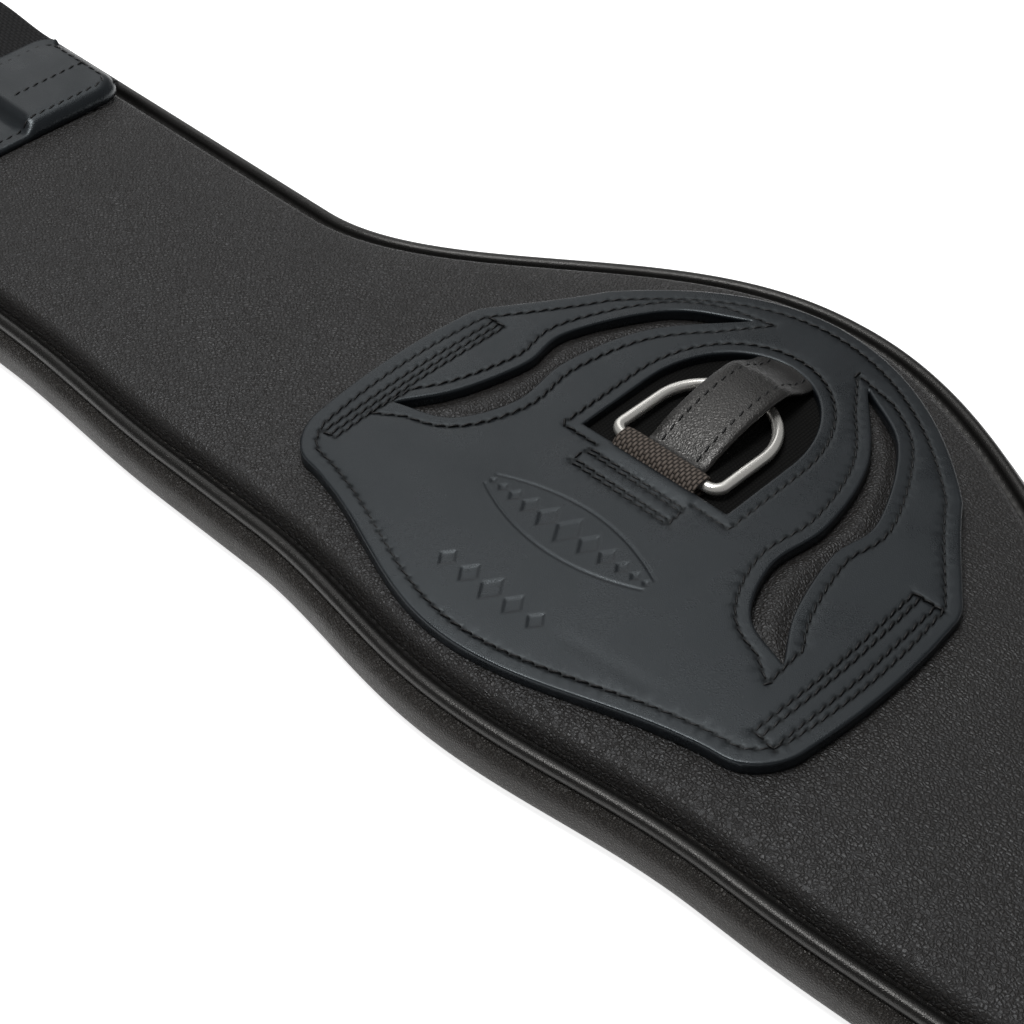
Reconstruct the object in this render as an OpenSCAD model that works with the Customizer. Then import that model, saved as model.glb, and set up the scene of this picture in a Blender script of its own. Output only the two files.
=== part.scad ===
// Anatomic leather saddle girth, lying flat with its outer side up.
// +X runs along the girth, +Y towards the horse's front, +Z out of the outer side.
// The origin is at the bottom centre of the padded body.

/* [Body] */
// Length of the padded body, end to end
body_len = 760; // [620:10:900]
// Width of the narrow ends between the piping lines
neck_w = 92; // [88:1:104]
// How far the middle bulges towards the front
front_bulge = 64.8; // [56:0.2:74]
// How far the middle bulges towards the rear
rear_bulge = 6.8; // [4:0.2:14]
// How far the padded roll stands out beyond the piping
roll_out = 4; // [3:0.5:5]
// Corner radius of the body's ends at the piping
end_r = 30; // [20:1:40]

/* [Layers] */
// Height of the padded lining roll
roll_h = 11.2; // [9:0.2:14]
// Thickness of the lining leather
lining_t = 1.2; // [0.8:0.1:2]
// Height of the outer panel's crown above the ground
crown_z = 18.5; // [18:0.5:22]
// Thickness of the outer leather
panel_t = 1.4; // [1:0.1:2]
// Thickness of the load-bearing web inside
web_t = 2; // [1:0.5:2]
// Width of the load-bearing web
web_w = 64; // [40:2:70]

/* [Centre patch] */
// Thickness of the centre patch
patch_t = 3.5; // [3:0.1:4.5]
// Reach of the patch's right end from the middle of the window
patch_right = 83.2; // [80:0.2:84]
// Reach of the patch's left end from the middle of the window
patch_left = 75; // [72:0.2:84]
// Distance from the window's straight edge to the patch's front tip
patch_front = 74.3; // [72:0.1:76]
// Distance from the window's straight edge to the patch's rear tip
patch_rear = 72.5; // [70:0.5:74]
// Half the width of the window
window_half = 23; // [22:0.5:24]
// Straight height of the window's sides
window_side = 23.2; // [20:0.1:26]
// Rise of the window's rounded top
window_rise = 29; // [27:0.5:30]

/* [Ring] */
// Wire diameter of the ring
ring_wire = 3; // [2.5:0.1:3]
// Width of the ring, wire centre to wire centre
ring_w = 33.1; // [32.5:0.1:33.5]
// Length of the ring, wire centre to wire centre
ring_len = 33.7; // [33:0.1:34]
// Width of the strap that holds the ring down
strap_w = 18.4; // [16:0.2:18.8]
// Width of the web keeper round the ring's bar
keeper_w = 26; // [20:1:26]

/* [Buckles] */
// Inner width of a buckle, for 25 mm billets
buckle_in = 27; // [26:0.5:28]
// Wire diameter of a buckle
buckle_wire = 4; // [3.5:0.1:4]
// Length of a buckle, heel bar to roller bar
buckle_len = 32; // [30:1:34]
// Distance between the two buckles of one end
buckle_pitch = 50; // [46:1:52]
// Distance from the heel bars to the end of the body
heel_back = 50; // [46:1:56]
// Outer diameter of a roller
roller_d = 7; // [6:0.2:7.2]
// Width of an elastic
elastic_w = 32; // [25:1:34]
// Thickness of an elastic
elastic_t = 3; // [2:0.2:3]

/* [Hidden] */

$fn = 32;
eps = 0.01;
left = -1;
right = 1;
front = 1;
rear = -1;

// Outline of the body, measured from the middle of the window's straight edge.
neck_y = -26;
front_run_right = 165;
front_run_left = 140;
front_power_left = 1.11;
rear_peak = 8;
rear_run_right = 75;
rear_run_left = 68;
hip = 2.8;
hip_in = 95;
hip_out = 160;
front_steps = 44;
rear_steps = 40;
corner_steps = 8;
half_len = body_len / 2 - roll_out;
front_line = neck_y + neck_w / 2;
rear_line = neck_y - neck_w / 2;

// The row's origin lies midway between the front and rear edges of the roll.
window_y = -(front_line + front_bulge + rear_line - rear_bulge - hip) / 2;

// Heights and insets of the body's layers.
roll_edge = 1.8;
roll_foot = 2;
flange_in = 6;
piping_r = 1.2;
piping_top = roll_h + 3.9;
strip_in = 4.6;
panel_in = 3.6;
valley_z = roll_h + 2 + panel_t;
crown_in = 5.5;
crown_mid_z = crown_z - 2;
crown_top_in = 9;
web_end = 46;

// Centre patch.
patch_top = crown_z + patch_t;
patch_fall = 0.0088;
patch_rear_side = 16.4;
patch_rear_run = 75;
patch_front_corner = 10;
patch_rear_corner = 13;
patch_bow = 0.0026;
patch_bow_y = -14;
patch_bow_x = 60;
patch_steps = 12;
backing_t = 0.5;
backing_lap = 5;
backing_gap = 0.1;
tip_a = [19, 59.4];
tip_b = [62, -27];
slot_outer = [[37, 47.4], [49.7, 23], [48.9, 7], [54, -13]];
slot_inner = [[48, -21], [41, -5], [42.3, 14], [36, 37.5]];
spline_steps = 6;

// Ring, its keeper and its strap.
wire_r = ring_wire / 2;
running_gap = 0.05;
bar_y = 3.9;
keeper_t = 1;
keeper_tail = 14;
bar_z = crown_z + backing_t + keeper_t + wire_r + 2 * running_gap;
bow_z = crown_z + backing_t + wire_r + 0.25;
ring_tilt = asin((bar_z - bow_z) / ring_len);
ring_corner = 3.3;
tail_top = bar_z - 0.45;
strap_t = 2.2;
strap_low = crown_z + backing_t + eps;
strap_lift = 3;
strap_clear = 0.35;
strap_high = bow_z + wire_r + (ring_len + wire_r) * sin(strap_lift) + strap_clear;
pocket_gap = 0.1;

// Ends, elastics, chapes and buckles.
heel_x = body_len / 2 - heel_back;
bar_r = buckle_wire / 2;
bore_r = bar_r + 0.06;
chape_t = 1.8;
chape_r = bore_r + chape_t;
buckle_z = crown_z + 0.3 + chape_r;
frame_half = buckle_in / 2 + bar_r;
frame_corner = 3;
chape_w = 2 * (frame_half - frame_corner) - 0.4;
chape_back = 38;
crew_hole_w = 6;
crew_hole_back = 15;
elastic_start = heel_x - 104;
elastic_end = heel_x - 17;
patch_end_in = heel_x - 108;
patch_end_out = heel_x - 72;
patch_end_half = 40.8;
patch_end_r = 8;
patch_end_t = elastic_t + 2.2;
roller_w = chape_w;
tongue_r = 1.7;
tongue_w = 4;
tongue_tip = buckle_len + 4;
tongue_lift = roller_d / 2 + tongue_r + 0.3;

// 1 at the middle, easing to 0 at the end of the run.
function ease(t) = (1 + cos(180 * min(t, 1))) / 2;

function front_y(x) = front_line + front_bulge * ease(x > 0 ? x / front_run_right : pow(-x / front_run_left, front_power_left));
function rear_y(x) = rear_line - hip * ease(max(0, abs(x) - hip_in) / (hip_out - hip_in))
  - rear_bulge * ease(abs(x - rear_peak) / (x > rear_peak ? rear_run_right : rear_run_left));

function unit(v) = v / norm(v);

// A point on an edge curve, moved d along the curve's normal; side is 1 at the front edge.
function edge_point(x, d, side) =
  let (
    h = 0.5,
    y = side > 0 ? front_y(x) : rear_y(x),
    slope = side > 0 ? (front_y(x + h) - front_y(x - h)) / (2 * h)
                     : (rear_y(x + h) - rear_y(x - h)) / (2 * h),
    inward = side * unit([slope, -1])
  ) [x, y] + d * inward;

function arc(c, r, a0, a1, n) = [for (i = [0 : n]) c + r * [cos(a0 + (a1 - a0) * i / n), sin(a0 + (a1 - a0) * i / n)]];

// Outline of the body d inside the piping line, anticlockwise from the rear left.
function body_outline(d) =
  let (cx = half_len - end_r, r = end_r - d)
  concat(
    arc([-cx, rear_line + end_r], r, 180, 270, corner_steps),
    [for (i = [0 : rear_steps]) edge_point(hip_out * (2 * i / rear_steps - 1), d, -1)],
    arc([cx, rear_line + end_r], r, 270, 360, corner_steps),
    arc([cx, front_line - end_r], r, 0, 90, corner_steps),
    [for (i = [0 : front_steps]) edge_point(front_run_right - (front_run_right + front_run_left) * i / front_steps, d, 1)],
    arc([-cx, front_line - end_r], r, 90, 180, corner_steps)
  );

// The rounded corner at p1 between the lines to p0 and p2.
function fillet(p0, p1, p2, r, n) =
  let (
    a = unit(p0 - p1),
    b = unit(p2 - p1),
    half = acos(a * b) / 2,
    c = p1 + unit(a + b) * r / sin(half),
    from = p1 + a * r / tan(half) - c,
    to = p1 + b * r / tan(half) - c,
    a0 = atan2(from[1], from[0]),
    turn = atan2(from[0] * to[1] - from[1] * to[0], from * to)
  ) arc(c, r, a0, a0 + turn, n);

function patch_front_y(x) = patch_front - patch_fall * x * x;
function patch_rear_y(x) = -(patch_rear - patch_rear_side) - patch_rear_side * ease(abs(x) / patch_rear_run);

// Right half of the centre patch, from its rear tip to its front tip.
function patch_half_outline() =
  let (
    rear_x = patch_right - 14,
    front_x = patch_right - 10,
    rear_corner = [patch_right, patch_rear_y(patch_right) + 1],
    front_corner = [patch_right, patch_front_y(patch_right)]
  )
  concat(
    [for (i = [0 : patch_steps - 1]) let (x = rear_x * i / patch_steps) [x, patch_rear_y(x)]],
    fillet([rear_x, patch_rear_y(rear_x)], rear_corner, front_corner, patch_rear_corner, corner_steps),
    [for (y = [-36 : 9 : 0]) [patch_right, y]],
    fillet(rear_corner, front_corner, [front_x, patch_front_y(front_x)], patch_front_corner, corner_steps),
    [for (i = [patch_steps - 1 : -1 : 0]) let (x = front_x * i / patch_steps) [x, patch_front_y(x)]]
  );

// The patch's ends bow out; its left half is a little shorter than its right one.
function bowed(p) = [p[0] - patch_bow * pow(p[1] - patch_bow_y, 2) * max(0, (p[0] - patch_bow_x) / (patch_right - patch_bow_x)), p[1]];
function patch_outline() =
  let (half = [for (p = patch_half_outline()) bowed(p)])
  concat(half, [for (i = [len(half) - 1 : -1 : 0]) [-half[i][0] * patch_left / patch_right, half[i][1]]]);

// A smooth curve through the points, without its last point.
function spline(p) = [
  for (i = [0 : len(p) - 2]) for (j = [0 : spline_steps - 1])
    let (
      t = j / spline_steps,
      before = i == 0 ? 2 * p[0] - p[1] : p[i - 1],
      after = i == len(p) - 2 ? 2 * p[i + 1] - p[i] : p[i + 2]
    )
    0.5 * (2 * p[i] + (p[i + 1] - before) * t
      + (2 * before - 5 * p[i] + 4 * p[i + 1] - after) * t * t
      + (3 * p[i] - before - 3 * p[i + 1] + after) * t * t * t)
];

function window_outline(d) = concat(
  [[-window_half - d, -d], [window_half + d, -d]],
  [for (i = [0 : 16]) let (a = 180 * i / 16) [(window_half + d) * cos(a), window_side + (window_rise + d) * sin(a)]]
);

module plate(points, z0, z1) translate([0, 0, z0]) linear_extrude(z1 - z0) polygon(points);

// Places what is measured from the window's straight edge.
module on_girth() translate([0, window_y, 0]) children();

// Places what is drawn for the right end, x from the heel bar, on one row of one end.
module at_end(side, row) {
  on_girth() translate([0, neck_y + row * buckle_pitch / 2, 0])
    if (side == left) mirror([1, 0, 0]) children();
    else children();
}

// A side profile of [x, z] points, w wide along Y.
module side_strip(profile, w) translate([0, w / 2, 0]) rotate([90, 0, 0]) linear_extrude(w) polygon(profile);

module lining_panel() color([0.10, 0.09, 0.085]) on_girth() difference() {
  union() {
    plate(body_outline(-roll_out + roll_edge), 0, roll_foot);
    plate(body_outline(-roll_out), roll_foot, roll_h - roll_foot);
    plate(body_outline(-roll_out + roll_edge), roll_h - roll_foot, roll_h);
  }
  plate(body_outline(-roll_out + roll_edge + lining_t), lining_t, roll_foot + lining_t);
  plate(body_outline(-roll_out + lining_t), roll_foot + lining_t, roll_h - roll_foot - lining_t);
  plate(body_outline(-roll_out + roll_edge + lining_t), roll_h - roll_foot - lining_t, roll_h - lining_t);
  plate(body_outline(flange_in), roll_h - lining_t - eps, roll_h + eps);
}

module lining_foam() color([0.85, 0.83, 0.74]) on_girth() union() {
  plate(body_outline(-roll_out + roll_edge + lining_t), lining_t, roll_foot + lining_t);
  plate(body_outline(-roll_out + lining_t), roll_foot + lining_t, roll_h - roll_foot - lining_t);
  plate(body_outline(-roll_out + roll_edge + lining_t), roll_h - roll_foot - lining_t, roll_h - lining_t);
  plate(body_outline(flange_in), roll_h - lining_t, roll_h);
}

module web_shape() on_girth() translate([-half_len + web_end, neck_y - web_w / 2, roll_h])
  cube([2 * (half_len - web_end), web_w, web_t]);

module core_web() color([0.2, 0.2, 0.22]) web_shape();

module outer_foam() color([0.85, 0.83, 0.74]) difference() {
  on_girth() union() {
    plate(body_outline(strip_in), roll_h, roll_h + 2);
    plate(body_outline(crown_in + panel_t), roll_h + 2, crown_mid_z - panel_t);
    plate(body_outline(crown_top_in + panel_t), crown_mid_z - panel_t, crown_z - panel_t);
  }
  web_shape();
}

module outer_panel() color([0.12, 0.105, 0.095]) on_girth() difference() {
  union() {
    plate(body_outline(panel_in), roll_h + 2, valley_z);
    plate(body_outline(crown_in), valley_z, crown_mid_z);
    plate(body_outline(crown_top_in), crown_mid_z, crown_z);
  }
  plate(body_outline(crown_in + panel_t), roll_h + 1, crown_mid_z - panel_t);
  plate(body_outline(crown_top_in + panel_t), crown_mid_z - panel_t, crown_z - panel_t);
}

module edge_piping() color([0.09, 0.085, 0.08]) on_girth() difference() {
  union() {
    plate(body_outline(-piping_r), roll_h, piping_top);
    plate(body_outline(0), roll_h, roll_h + 2);
  }
  plate(body_outline(strip_in), roll_h - 1, roll_h + 3);
  plate(body_outline(piping_r), roll_h + 2, piping_top + 1);
}

// The curved cut-out on the right of the window.
module slot_shape() polygon(concat(spline(concat([tip_a], slot_outer, [tip_b])), spline(concat([tip_b], slot_inner, [tip_a]))));

module centre_patch() color([0.10, 0.115, 0.135]) on_girth() difference() {
  plate(patch_outline(), crown_z, patch_top);
  plate(window_outline(0), crown_z - 1, patch_top + 1);
  plate(window_outline(backing_lap), crown_z - 1, crown_z + backing_t + backing_gap);
  for (side = [0, 1]) mirror([side, 0, 0]) translate([0, 0, crown_z - 1]) linear_extrude(patch_t + 2) slot_shape();
  // pockets for the keeper's tail and the strap's tail
  translate([-keeper_w / 2 - pocket_gap, -keeper_tail - pocket_gap, crown_z - 1])
    cube([keeper_w + 2 * pocket_gap, keeper_tail + 1, tail_top + pocket_gap - crown_z + 1]);
  translate([-strap_w / 2 - pocket_gap, window_side + window_rise - 6, crown_z - 1])
    cube([strap_w + 2 * pocket_gap, 14, strap_low + strap_t + pocket_gap - crown_z + 1]);
}

module window_backing() color([0.03, 0.03, 0.032]) on_girth()
  plate(window_outline(backing_lap - backing_gap), crown_z, crown_z + backing_t);

// The web lug round the ring's bar, with its tail under the patch.
module ring_keeper() color([0.17, 0.155, 0.14]) on_girth() {
  loop_r = wire_r + running_gap + keeper_t;
  reach = norm([bar_y, bar_z - tail_top]);
  tangent = sqrt(reach * reach - loop_r * loop_r);
  rise = atan2(bar_z - tail_top, bar_y) + asin(loop_r / reach);
  floor_z = bar_z - loop_r;
  translate([-keeper_w / 2, 0, 0]) rotate([90, 0, 90]) difference() {
    union() {
      translate([bar_y, bar_z, 0]) cylinder(r = loop_r, h = keeper_w);
      linear_extrude(keeper_w) polygon([
        [-keeper_tail, floor_z], [bar_y, floor_z], [bar_y, bar_z],
        [tangent * cos(rise), tail_top + tangent * sin(rise)], [0, tail_top], [-keeper_tail, tail_top]
      ]);
    }
    translate([bar_y, bar_z, -1]) cylinder(r = wire_r + running_gap, h = keeper_w + 2);
  }
}

// The leather strap from the keeper over the ring's bow to its pocket under the patch.
module ring_strap() color([0.11, 0.10, 0.095]) on_girth() {
  start_y = bar_y + wire_r + keeper_t + 0.6;
  bow_y = bar_y + ring_len;
  arch_y = window_side + window_rise;
  low = strap_low;
  translate([-strap_w / 2, 0, 0]) rotate([90, 0, 90]) linear_extrude(strap_w) polygon([
    [start_y, low], [start_y + 3, low], [start_y + 10, strap_high - 3.3], [start_y + 18, strap_high - 1],
    [bow_y - 6, strap_high], [bow_y + 3, strap_high], [bow_y + 5.5, strap_high - 1.2],
    [arch_y - 7, low], [arch_y + 7, low], [arch_y + 7, low + strap_t], [arch_y - 5.5, low + strap_t],
    [bow_y + 7, strap_high + 0.6], [bow_y + 3.6, strap_high + strap_t],
    [bow_y - 7, strap_high + strap_t], [start_y + 17, strap_high + strap_t - 1],
    [start_y + 8.5, strap_high + strap_t - 3.3], [start_y + 2, low + strap_t], [start_y, low + strap_t]
  ]);
}

// A quarter bend of wire whose ends lie on the X and Y axes.
module wire_bend(bend_r, r, turn) rotate_extrude(angle = turn) translate([bend_r, 0]) circle(r = r);

module d_ring() color([0.83, 0.82, 0.78]) on_girth() translate([0, bar_y, bar_z]) rotate([-ring_tilt, 0, 0]) {
  half = ring_w / 2;
  leg_top = ring_len - half;
  bar_half = half - ring_corner;
  translate([-bar_half, 0, 0]) rotate([0, 90, 0]) cylinder(r = wire_r, h = 2 * bar_half);
  for (side = [0, 1]) mirror([side, 0, 0]) {
    translate([bar_half, ring_corner, 0]) rotate([0, 0, -90]) wire_bend(ring_corner, wire_r, 90);
    translate([half, ring_corner, 0]) rotate([-90, 0, 0]) cylinder(r = wire_r, h = leg_top - ring_corner);
  }
  translate([0, leg_top, 0]) wire_bend(half, wire_r, 180);
}

// The leather patch that holds one end's elastics, with a channel for each.
module end_patch(side) color([0.10, 0.115, 0.135]) at_end(side, 0) difference() {
  plate(
    let (r = patch_end_r, x0 = patch_end_in + r, x1 = patch_end_out - r, y = patch_end_half - r)
    concat(
      arc([x0, -y], r, 180, 270, corner_steps), arc([x1, -y], r, 270, 360, corner_steps),
      arc([x1, y], r, 0, 90, corner_steps), arc([x0, y], r, 90, 180, corner_steps)
    ),
    crown_z, crown_z + patch_end_t
  );
  for (row = [rear, front])
    translate([elastic_start - 0.2, row * buckle_pitch / 2 - elastic_w / 2 - 0.2, crown_z - 1])
      cube([patch_end_out - elastic_start + 1, elastic_w + 0.4, elastic_t + 1.3]);
}

module elastic(side, row) color([0.05, 0.05, 0.055]) at_end(side, row) side_strip([
  [elastic_start, crown_z + 0.1], [patch_end_out + 1, crown_z + 0.1],
  [heel_x - chape_back - 8, buckle_z - elastic_t / 2], [elastic_end, buckle_z - elastic_t / 2],
  [elastic_end, buckle_z + elastic_t / 2], [heel_x - chape_back - 8.8, buckle_z + elastic_t / 2],
  [patch_end_out + 0.2, crown_z + 0.1 + elastic_t], [elastic_start, crown_z + 0.1 + elastic_t]
], elastic_w);

// A leather fold round the buckle's heel bar, with a crew hole for the tongue.
module chape(side, row) color([0.11, 0.105, 0.10]) at_end(side, row) translate([heel_x, 0, buckle_z]) difference() {
  union() {
    translate([0, chape_w / 2, 0]) rotate([90, 0, 0]) cylinder(r = chape_r, h = chape_w);
    translate([-chape_back, -chape_w / 2, -chape_r]) cube([chape_back, chape_w, 2 * chape_r]);
  }
  translate([0, chape_w / 2 + 1, 0]) rotate([90, 0, 0]) cylinder(r = bore_r, h = chape_w + 2);
  translate([-chape_back - 1, -chape_w / 2 - 1, -bore_r]) cube([chape_back + 1, chape_w + 2, 2 * bore_r]);
  translate([-crew_hole_back, -crew_hole_w / 2, -chape_r - 1]) cube([crew_hole_back + chape_r + 1, crew_hole_w, 2 * chape_r + 2]);
}

module buckle_frame(side, row) color([0.83, 0.82, 0.78]) at_end(side, row) translate([heel_x, 0, buckle_z]) {
  bar_half = frame_half - frame_corner;
  for (x = [0, buckle_len]) translate([x, bar_half, 0]) rotate([90, 0, 0]) cylinder(r = bar_r, h = 2 * bar_half);
  for (s = [0, 1]) mirror([0, s, 0]) {
    translate([frame_corner, frame_half, 0]) rotate([0, 90, 0]) cylinder(r = bar_r, h = buckle_len - 2 * frame_corner);
    translate([frame_corner, bar_half, 0]) rotate([0, 0, 90]) wire_bend(frame_corner, bar_r, 90);
    translate([buckle_len - frame_corner, bar_half, 0]) wire_bend(frame_corner, bar_r, 90);
  }
}

module buckle_tongue(side, row) color([0.83, 0.82, 0.78]) at_end(side, row) translate([heel_x, 0, buckle_z]) difference() {
  eye_r = bore_r + 1.74;
  start_z = bore_r + 0.87;
  slope = atan2(tongue_lift - start_z, tongue_tip);
  tip_len = 2;
  union() {
    translate([0, tongue_w / 2, 0]) rotate([90, 0, 0]) cylinder(r = eye_r, h = tongue_w);
    translate([0, 0, start_z]) rotate([0, 90 - slope, 0]) {
      cylinder(r = tongue_r, h = tongue_tip - tip_len);
      translate([0, 0, tongue_tip - tip_len]) cylinder(r1 = tongue_r, r2 = tongue_r - 0.7, h = tip_len);
    }
  }
  translate([0, tongue_w / 2 + 1, 0]) rotate([90, 0, 0]) cylinder(r = bore_r, h = tongue_w + 2);
}

module buckle_roller(side, row) color([0.83, 0.82, 0.78]) at_end(side, row)
  translate([heel_x + buckle_len, roller_w / 2, buckle_z]) rotate([90, 0, 0]) difference() {
    cylinder(r = roller_d / 2, h = roller_w);
    translate([0, 0, -1]) cylinder(r = bar_r + running_gap, h = roller_w + 2);
  }

lining_panel();
lining_foam();
core_web();
outer_foam();
outer_panel();
edge_piping();
centre_patch();
window_backing();
ring_keeper();
ring_strap();
d_ring();
end_patch(left);  // end_patch_left
end_patch(right);  // end_patch_right
elastic(left, front);  // elastic_left_front
chape(left, front);  // chape_left_front
buckle_frame(left, front);  // buckle_frame_left_front
buckle_tongue(left, front);  // buckle_tongue_left_front
buckle_roller(left, front);  // buckle_roller_left_front
elastic(left, rear);  // elastic_left_rear
chape(left, rear);  // chape_left_rear
buckle_frame(left, rear);  // buckle_frame_left_rear
buckle_tongue(left, rear);  // buckle_tongue_left_rear
buckle_roller(left, rear);  // buckle_roller_left_rear
elastic(right, front);  // elastic_right_front
chape(right, front);  // chape_right_front
buckle_frame(right, front);  // buckle_frame_right_front
buckle_tongue(right, front);  // buckle_tongue_right_front
buckle_roller(right, front);  // buckle_roller_right_front
elastic(right, rear);  // elastic_right_rear
chape(right, rear);  // chape_right_rear
buckle_frame(right, rear);  // buckle_frame_right_rear
buckle_tongue(right, rear);  // buckle_tongue_right_rear
buckle_roller(right, rear);  // buckle_roller_right_rear
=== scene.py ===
"""The looks of an anatomic leather saddle girth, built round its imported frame.

Shapes are worked out in girth millimetres: x runs along the girth from its middle, y towards the
horse's front from the straight edge of the patch's window, and z up from the ground.
"""

import logging
import math
from dataclasses import dataclass
from enum import Enum
from typing import Callable, Optional

import bmesh
import bpy
import numpy as np
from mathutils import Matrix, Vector
from mathutils.geometry import delaunay_2d_cdt


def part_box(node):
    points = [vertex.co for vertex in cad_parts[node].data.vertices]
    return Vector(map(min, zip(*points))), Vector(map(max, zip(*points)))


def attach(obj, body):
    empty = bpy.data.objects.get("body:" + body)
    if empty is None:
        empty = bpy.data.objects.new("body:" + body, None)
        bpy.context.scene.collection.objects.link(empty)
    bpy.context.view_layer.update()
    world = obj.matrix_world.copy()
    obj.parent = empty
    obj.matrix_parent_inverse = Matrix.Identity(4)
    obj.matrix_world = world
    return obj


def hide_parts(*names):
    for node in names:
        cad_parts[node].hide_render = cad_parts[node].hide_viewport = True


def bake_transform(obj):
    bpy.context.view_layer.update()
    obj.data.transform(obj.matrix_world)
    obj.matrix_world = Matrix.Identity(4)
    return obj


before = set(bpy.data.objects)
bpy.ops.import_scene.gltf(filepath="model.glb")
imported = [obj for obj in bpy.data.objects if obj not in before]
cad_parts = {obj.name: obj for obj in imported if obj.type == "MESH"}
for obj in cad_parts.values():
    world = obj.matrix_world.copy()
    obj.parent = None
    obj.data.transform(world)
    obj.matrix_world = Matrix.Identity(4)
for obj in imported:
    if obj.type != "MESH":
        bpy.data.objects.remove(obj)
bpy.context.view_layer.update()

MM = 0.001
STITCH_PITCH = 3.3
log = logging.getLogger("girth")
Array = np.ndarray


# ---------------------------------------------------------------- measures taken from the frame


@dataclass(frozen=True)
class Datum:
    """Where the frame puts the girth's layers, in millimetres.

    Attributes:
        window_y: row place of the window's straight edge.
        crown_z: top of the outer panel, where the patch lies.
        patch_top: top of the centre patch.
        half_len: half the length of the body over its roll.
        bar_y: the ring's bar, from the window's edge.
        bar_z: height of the ring's bar.
        strap_top: top of the strap's arch over the ring.
        heel_x: the buckles' heel bars.
        buckle_z: height of the buckles' wire.
    """

    window_y: float
    crown_z: float
    patch_top: float
    half_len: float
    bar_y: float
    bar_z: float
    strap_top: float
    heel_x: float
    buckle_z: float

    @classmethod
    def from_frame(cls) -> "Datum":
        """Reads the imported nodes' boxes.

        Returns:
            The datum of this frame.
        """
        patch_low, patch_high = (np.array(corner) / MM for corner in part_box("centre_patch"))
        ring_low, ring_high = (np.array(corner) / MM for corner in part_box("d_ring"))
        heel_low, heel_high = (np.array(corner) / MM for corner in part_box("buckle_frame_right_front"))
        window_y = patch_low[1] + PATCH_REAR
        wire_r = 1.5
        return cls(
            window_y=window_y,
            crown_z=patch_low[2],
            patch_top=patch_high[2],
            half_len=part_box("lining_panel")[1].x / MM,
            bar_y=ring_low[1] + wire_r - window_y,
            bar_z=ring_high[2] - wire_r,
            strap_top=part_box("ring_strap")[1].z / MM,
            heel_x=heel_low[0] + 2.0,
            buckle_z=(heel_low[2] + heel_high[2]) / 2,
        )


PATCH_REAR = 72.5
PATCH_FRONT = 74.3
PATCH_RIGHT = 83.2
PATCH_LEFT = 75.0


def ease(t: Array) -> Array:
    """Half a cosine wave: 1 at t = 0, falling to 0 at t = 1 and beyond."""
    return (1 + np.cos(np.pi * np.clip(np.abs(t), 0, 1))) / 2


def smooth(t: Array) -> Array:
    """A smooth step: 0 up to t = 0, rising as 3t^2 - 2t^3 to 1 at t = 1."""
    t = np.clip(t, 0, 1)
    return t * t * (3 - 2 * t)


def bell(t: Array) -> Array:
    """The bell curve e^(-t^2)."""
    return np.exp(-t * t)


# ---------------------------------------------------------------- curves in the plane


def unit(v: Array) -> Array:
    """Each row of v divided by its length."""
    return v / np.maximum(np.linalg.norm(v, axis=-1, keepdims=True), 1e-12)


def closed(points: Array) -> Array:
    """The points with the first one repeated at the end."""
    return np.concatenate([points, points[:1]])


def spaced(points: Array, count: int) -> Array:
    """Points evenly spaced along a polyline.

    Args:
        points: the polyline's corners, one row each, in two or three dimensions.
        count: how many points to return, the two ends included.

    Returns:
        The points at equal steps of arc length.
    """
    along = np.concatenate([[0], np.cumsum(np.linalg.norm(np.diff(points, axis=0), axis=1))])
    at = np.linspace(0, along[-1], count)
    return np.stack([np.interp(at, along, points[:, k]) for k in range(points.shape[1])], axis=1)


def curve_length(points: Array) -> float:
    """The sum of the polyline's steps."""
    return float(np.linalg.norm(np.diff(points, axis=0), axis=1).sum())


def spline(points: Array, steps: int = 12) -> Array:
    """A smooth curve through the points: each span is the cubic whose end slopes are half the chord
    between the neighbours on either side (Catmull-Rom).

    Args:
        points: the points to pass through.
        steps: samples of each span.

    Returns:
        The sampled curve, both ends included.
    """
    p = np.concatenate([2 * points[:1] - points[1:2], points, 2 * points[-1:] - points[-2:-1]])
    t = (np.arange(steps) / steps)[None, :, None]
    a, b, c, d = (p[k : k + len(points) - 1, None, :] for k in range(4))
    spans = 0.5 * (2 * b + (c - a) * t + (2 * a - 5 * b + 4 * c - d) * t**2 + (3 * b - a - 3 * c + d) * t**3)
    return np.concatenate([spans.reshape(-1, points.shape[1]), points[-1:]])


def loop_normals(points: Array) -> Array:
    """The left-hand normals of a closed loop, which point inwards on an anticlockwise one."""
    tangent = unit(np.roll(points, -1, axis=0) - np.roll(points, 1, axis=0))
    return np.stack([-tangent[:, 1], tangent[:, 0]], axis=1)


def arc(centre: tuple[float, float], radius: float, start: float, end: float, steps: int) -> Array:
    """Points on a circle: centre + radius (cos a, sin a), a from start to end in degrees."""
    a = np.radians(np.linspace(start, end, steps + 1))
    return np.array(centre) + radius * np.stack([np.cos(a), np.sin(a)], axis=1)


def fillet(before: Array, corner: Array, after: Array, radius: float, steps: int = 10) -> Array:
    """A corner rounded by the circle that touches both its sides.

    Args:
        before: a point on the side that leads to the corner.
        corner: the corner itself.
        after: a point on the side that leaves it.
        radius: the circle's radius.
        steps: spans of the arc.

    Returns:
        The arc's points from one touching point to the other.
    """
    a, b = unit(before - corner), unit(after - corner)
    half = math.acos(float(a @ b)) / 2
    centre = corner + unit(a + b) * radius / math.sin(half)
    start, end = corner + a * radius / math.tan(half) - centre, corner + b * radius / math.tan(half) - centre
    first = math.degrees(math.atan2(start[1], start[0]))
    turn = math.degrees(math.atan2(start[0] * end[1] - start[1] * end[0], float(start @ end)))
    return arc((centre[0], centre[1]), radius, first, first + turn, steps)


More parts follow.
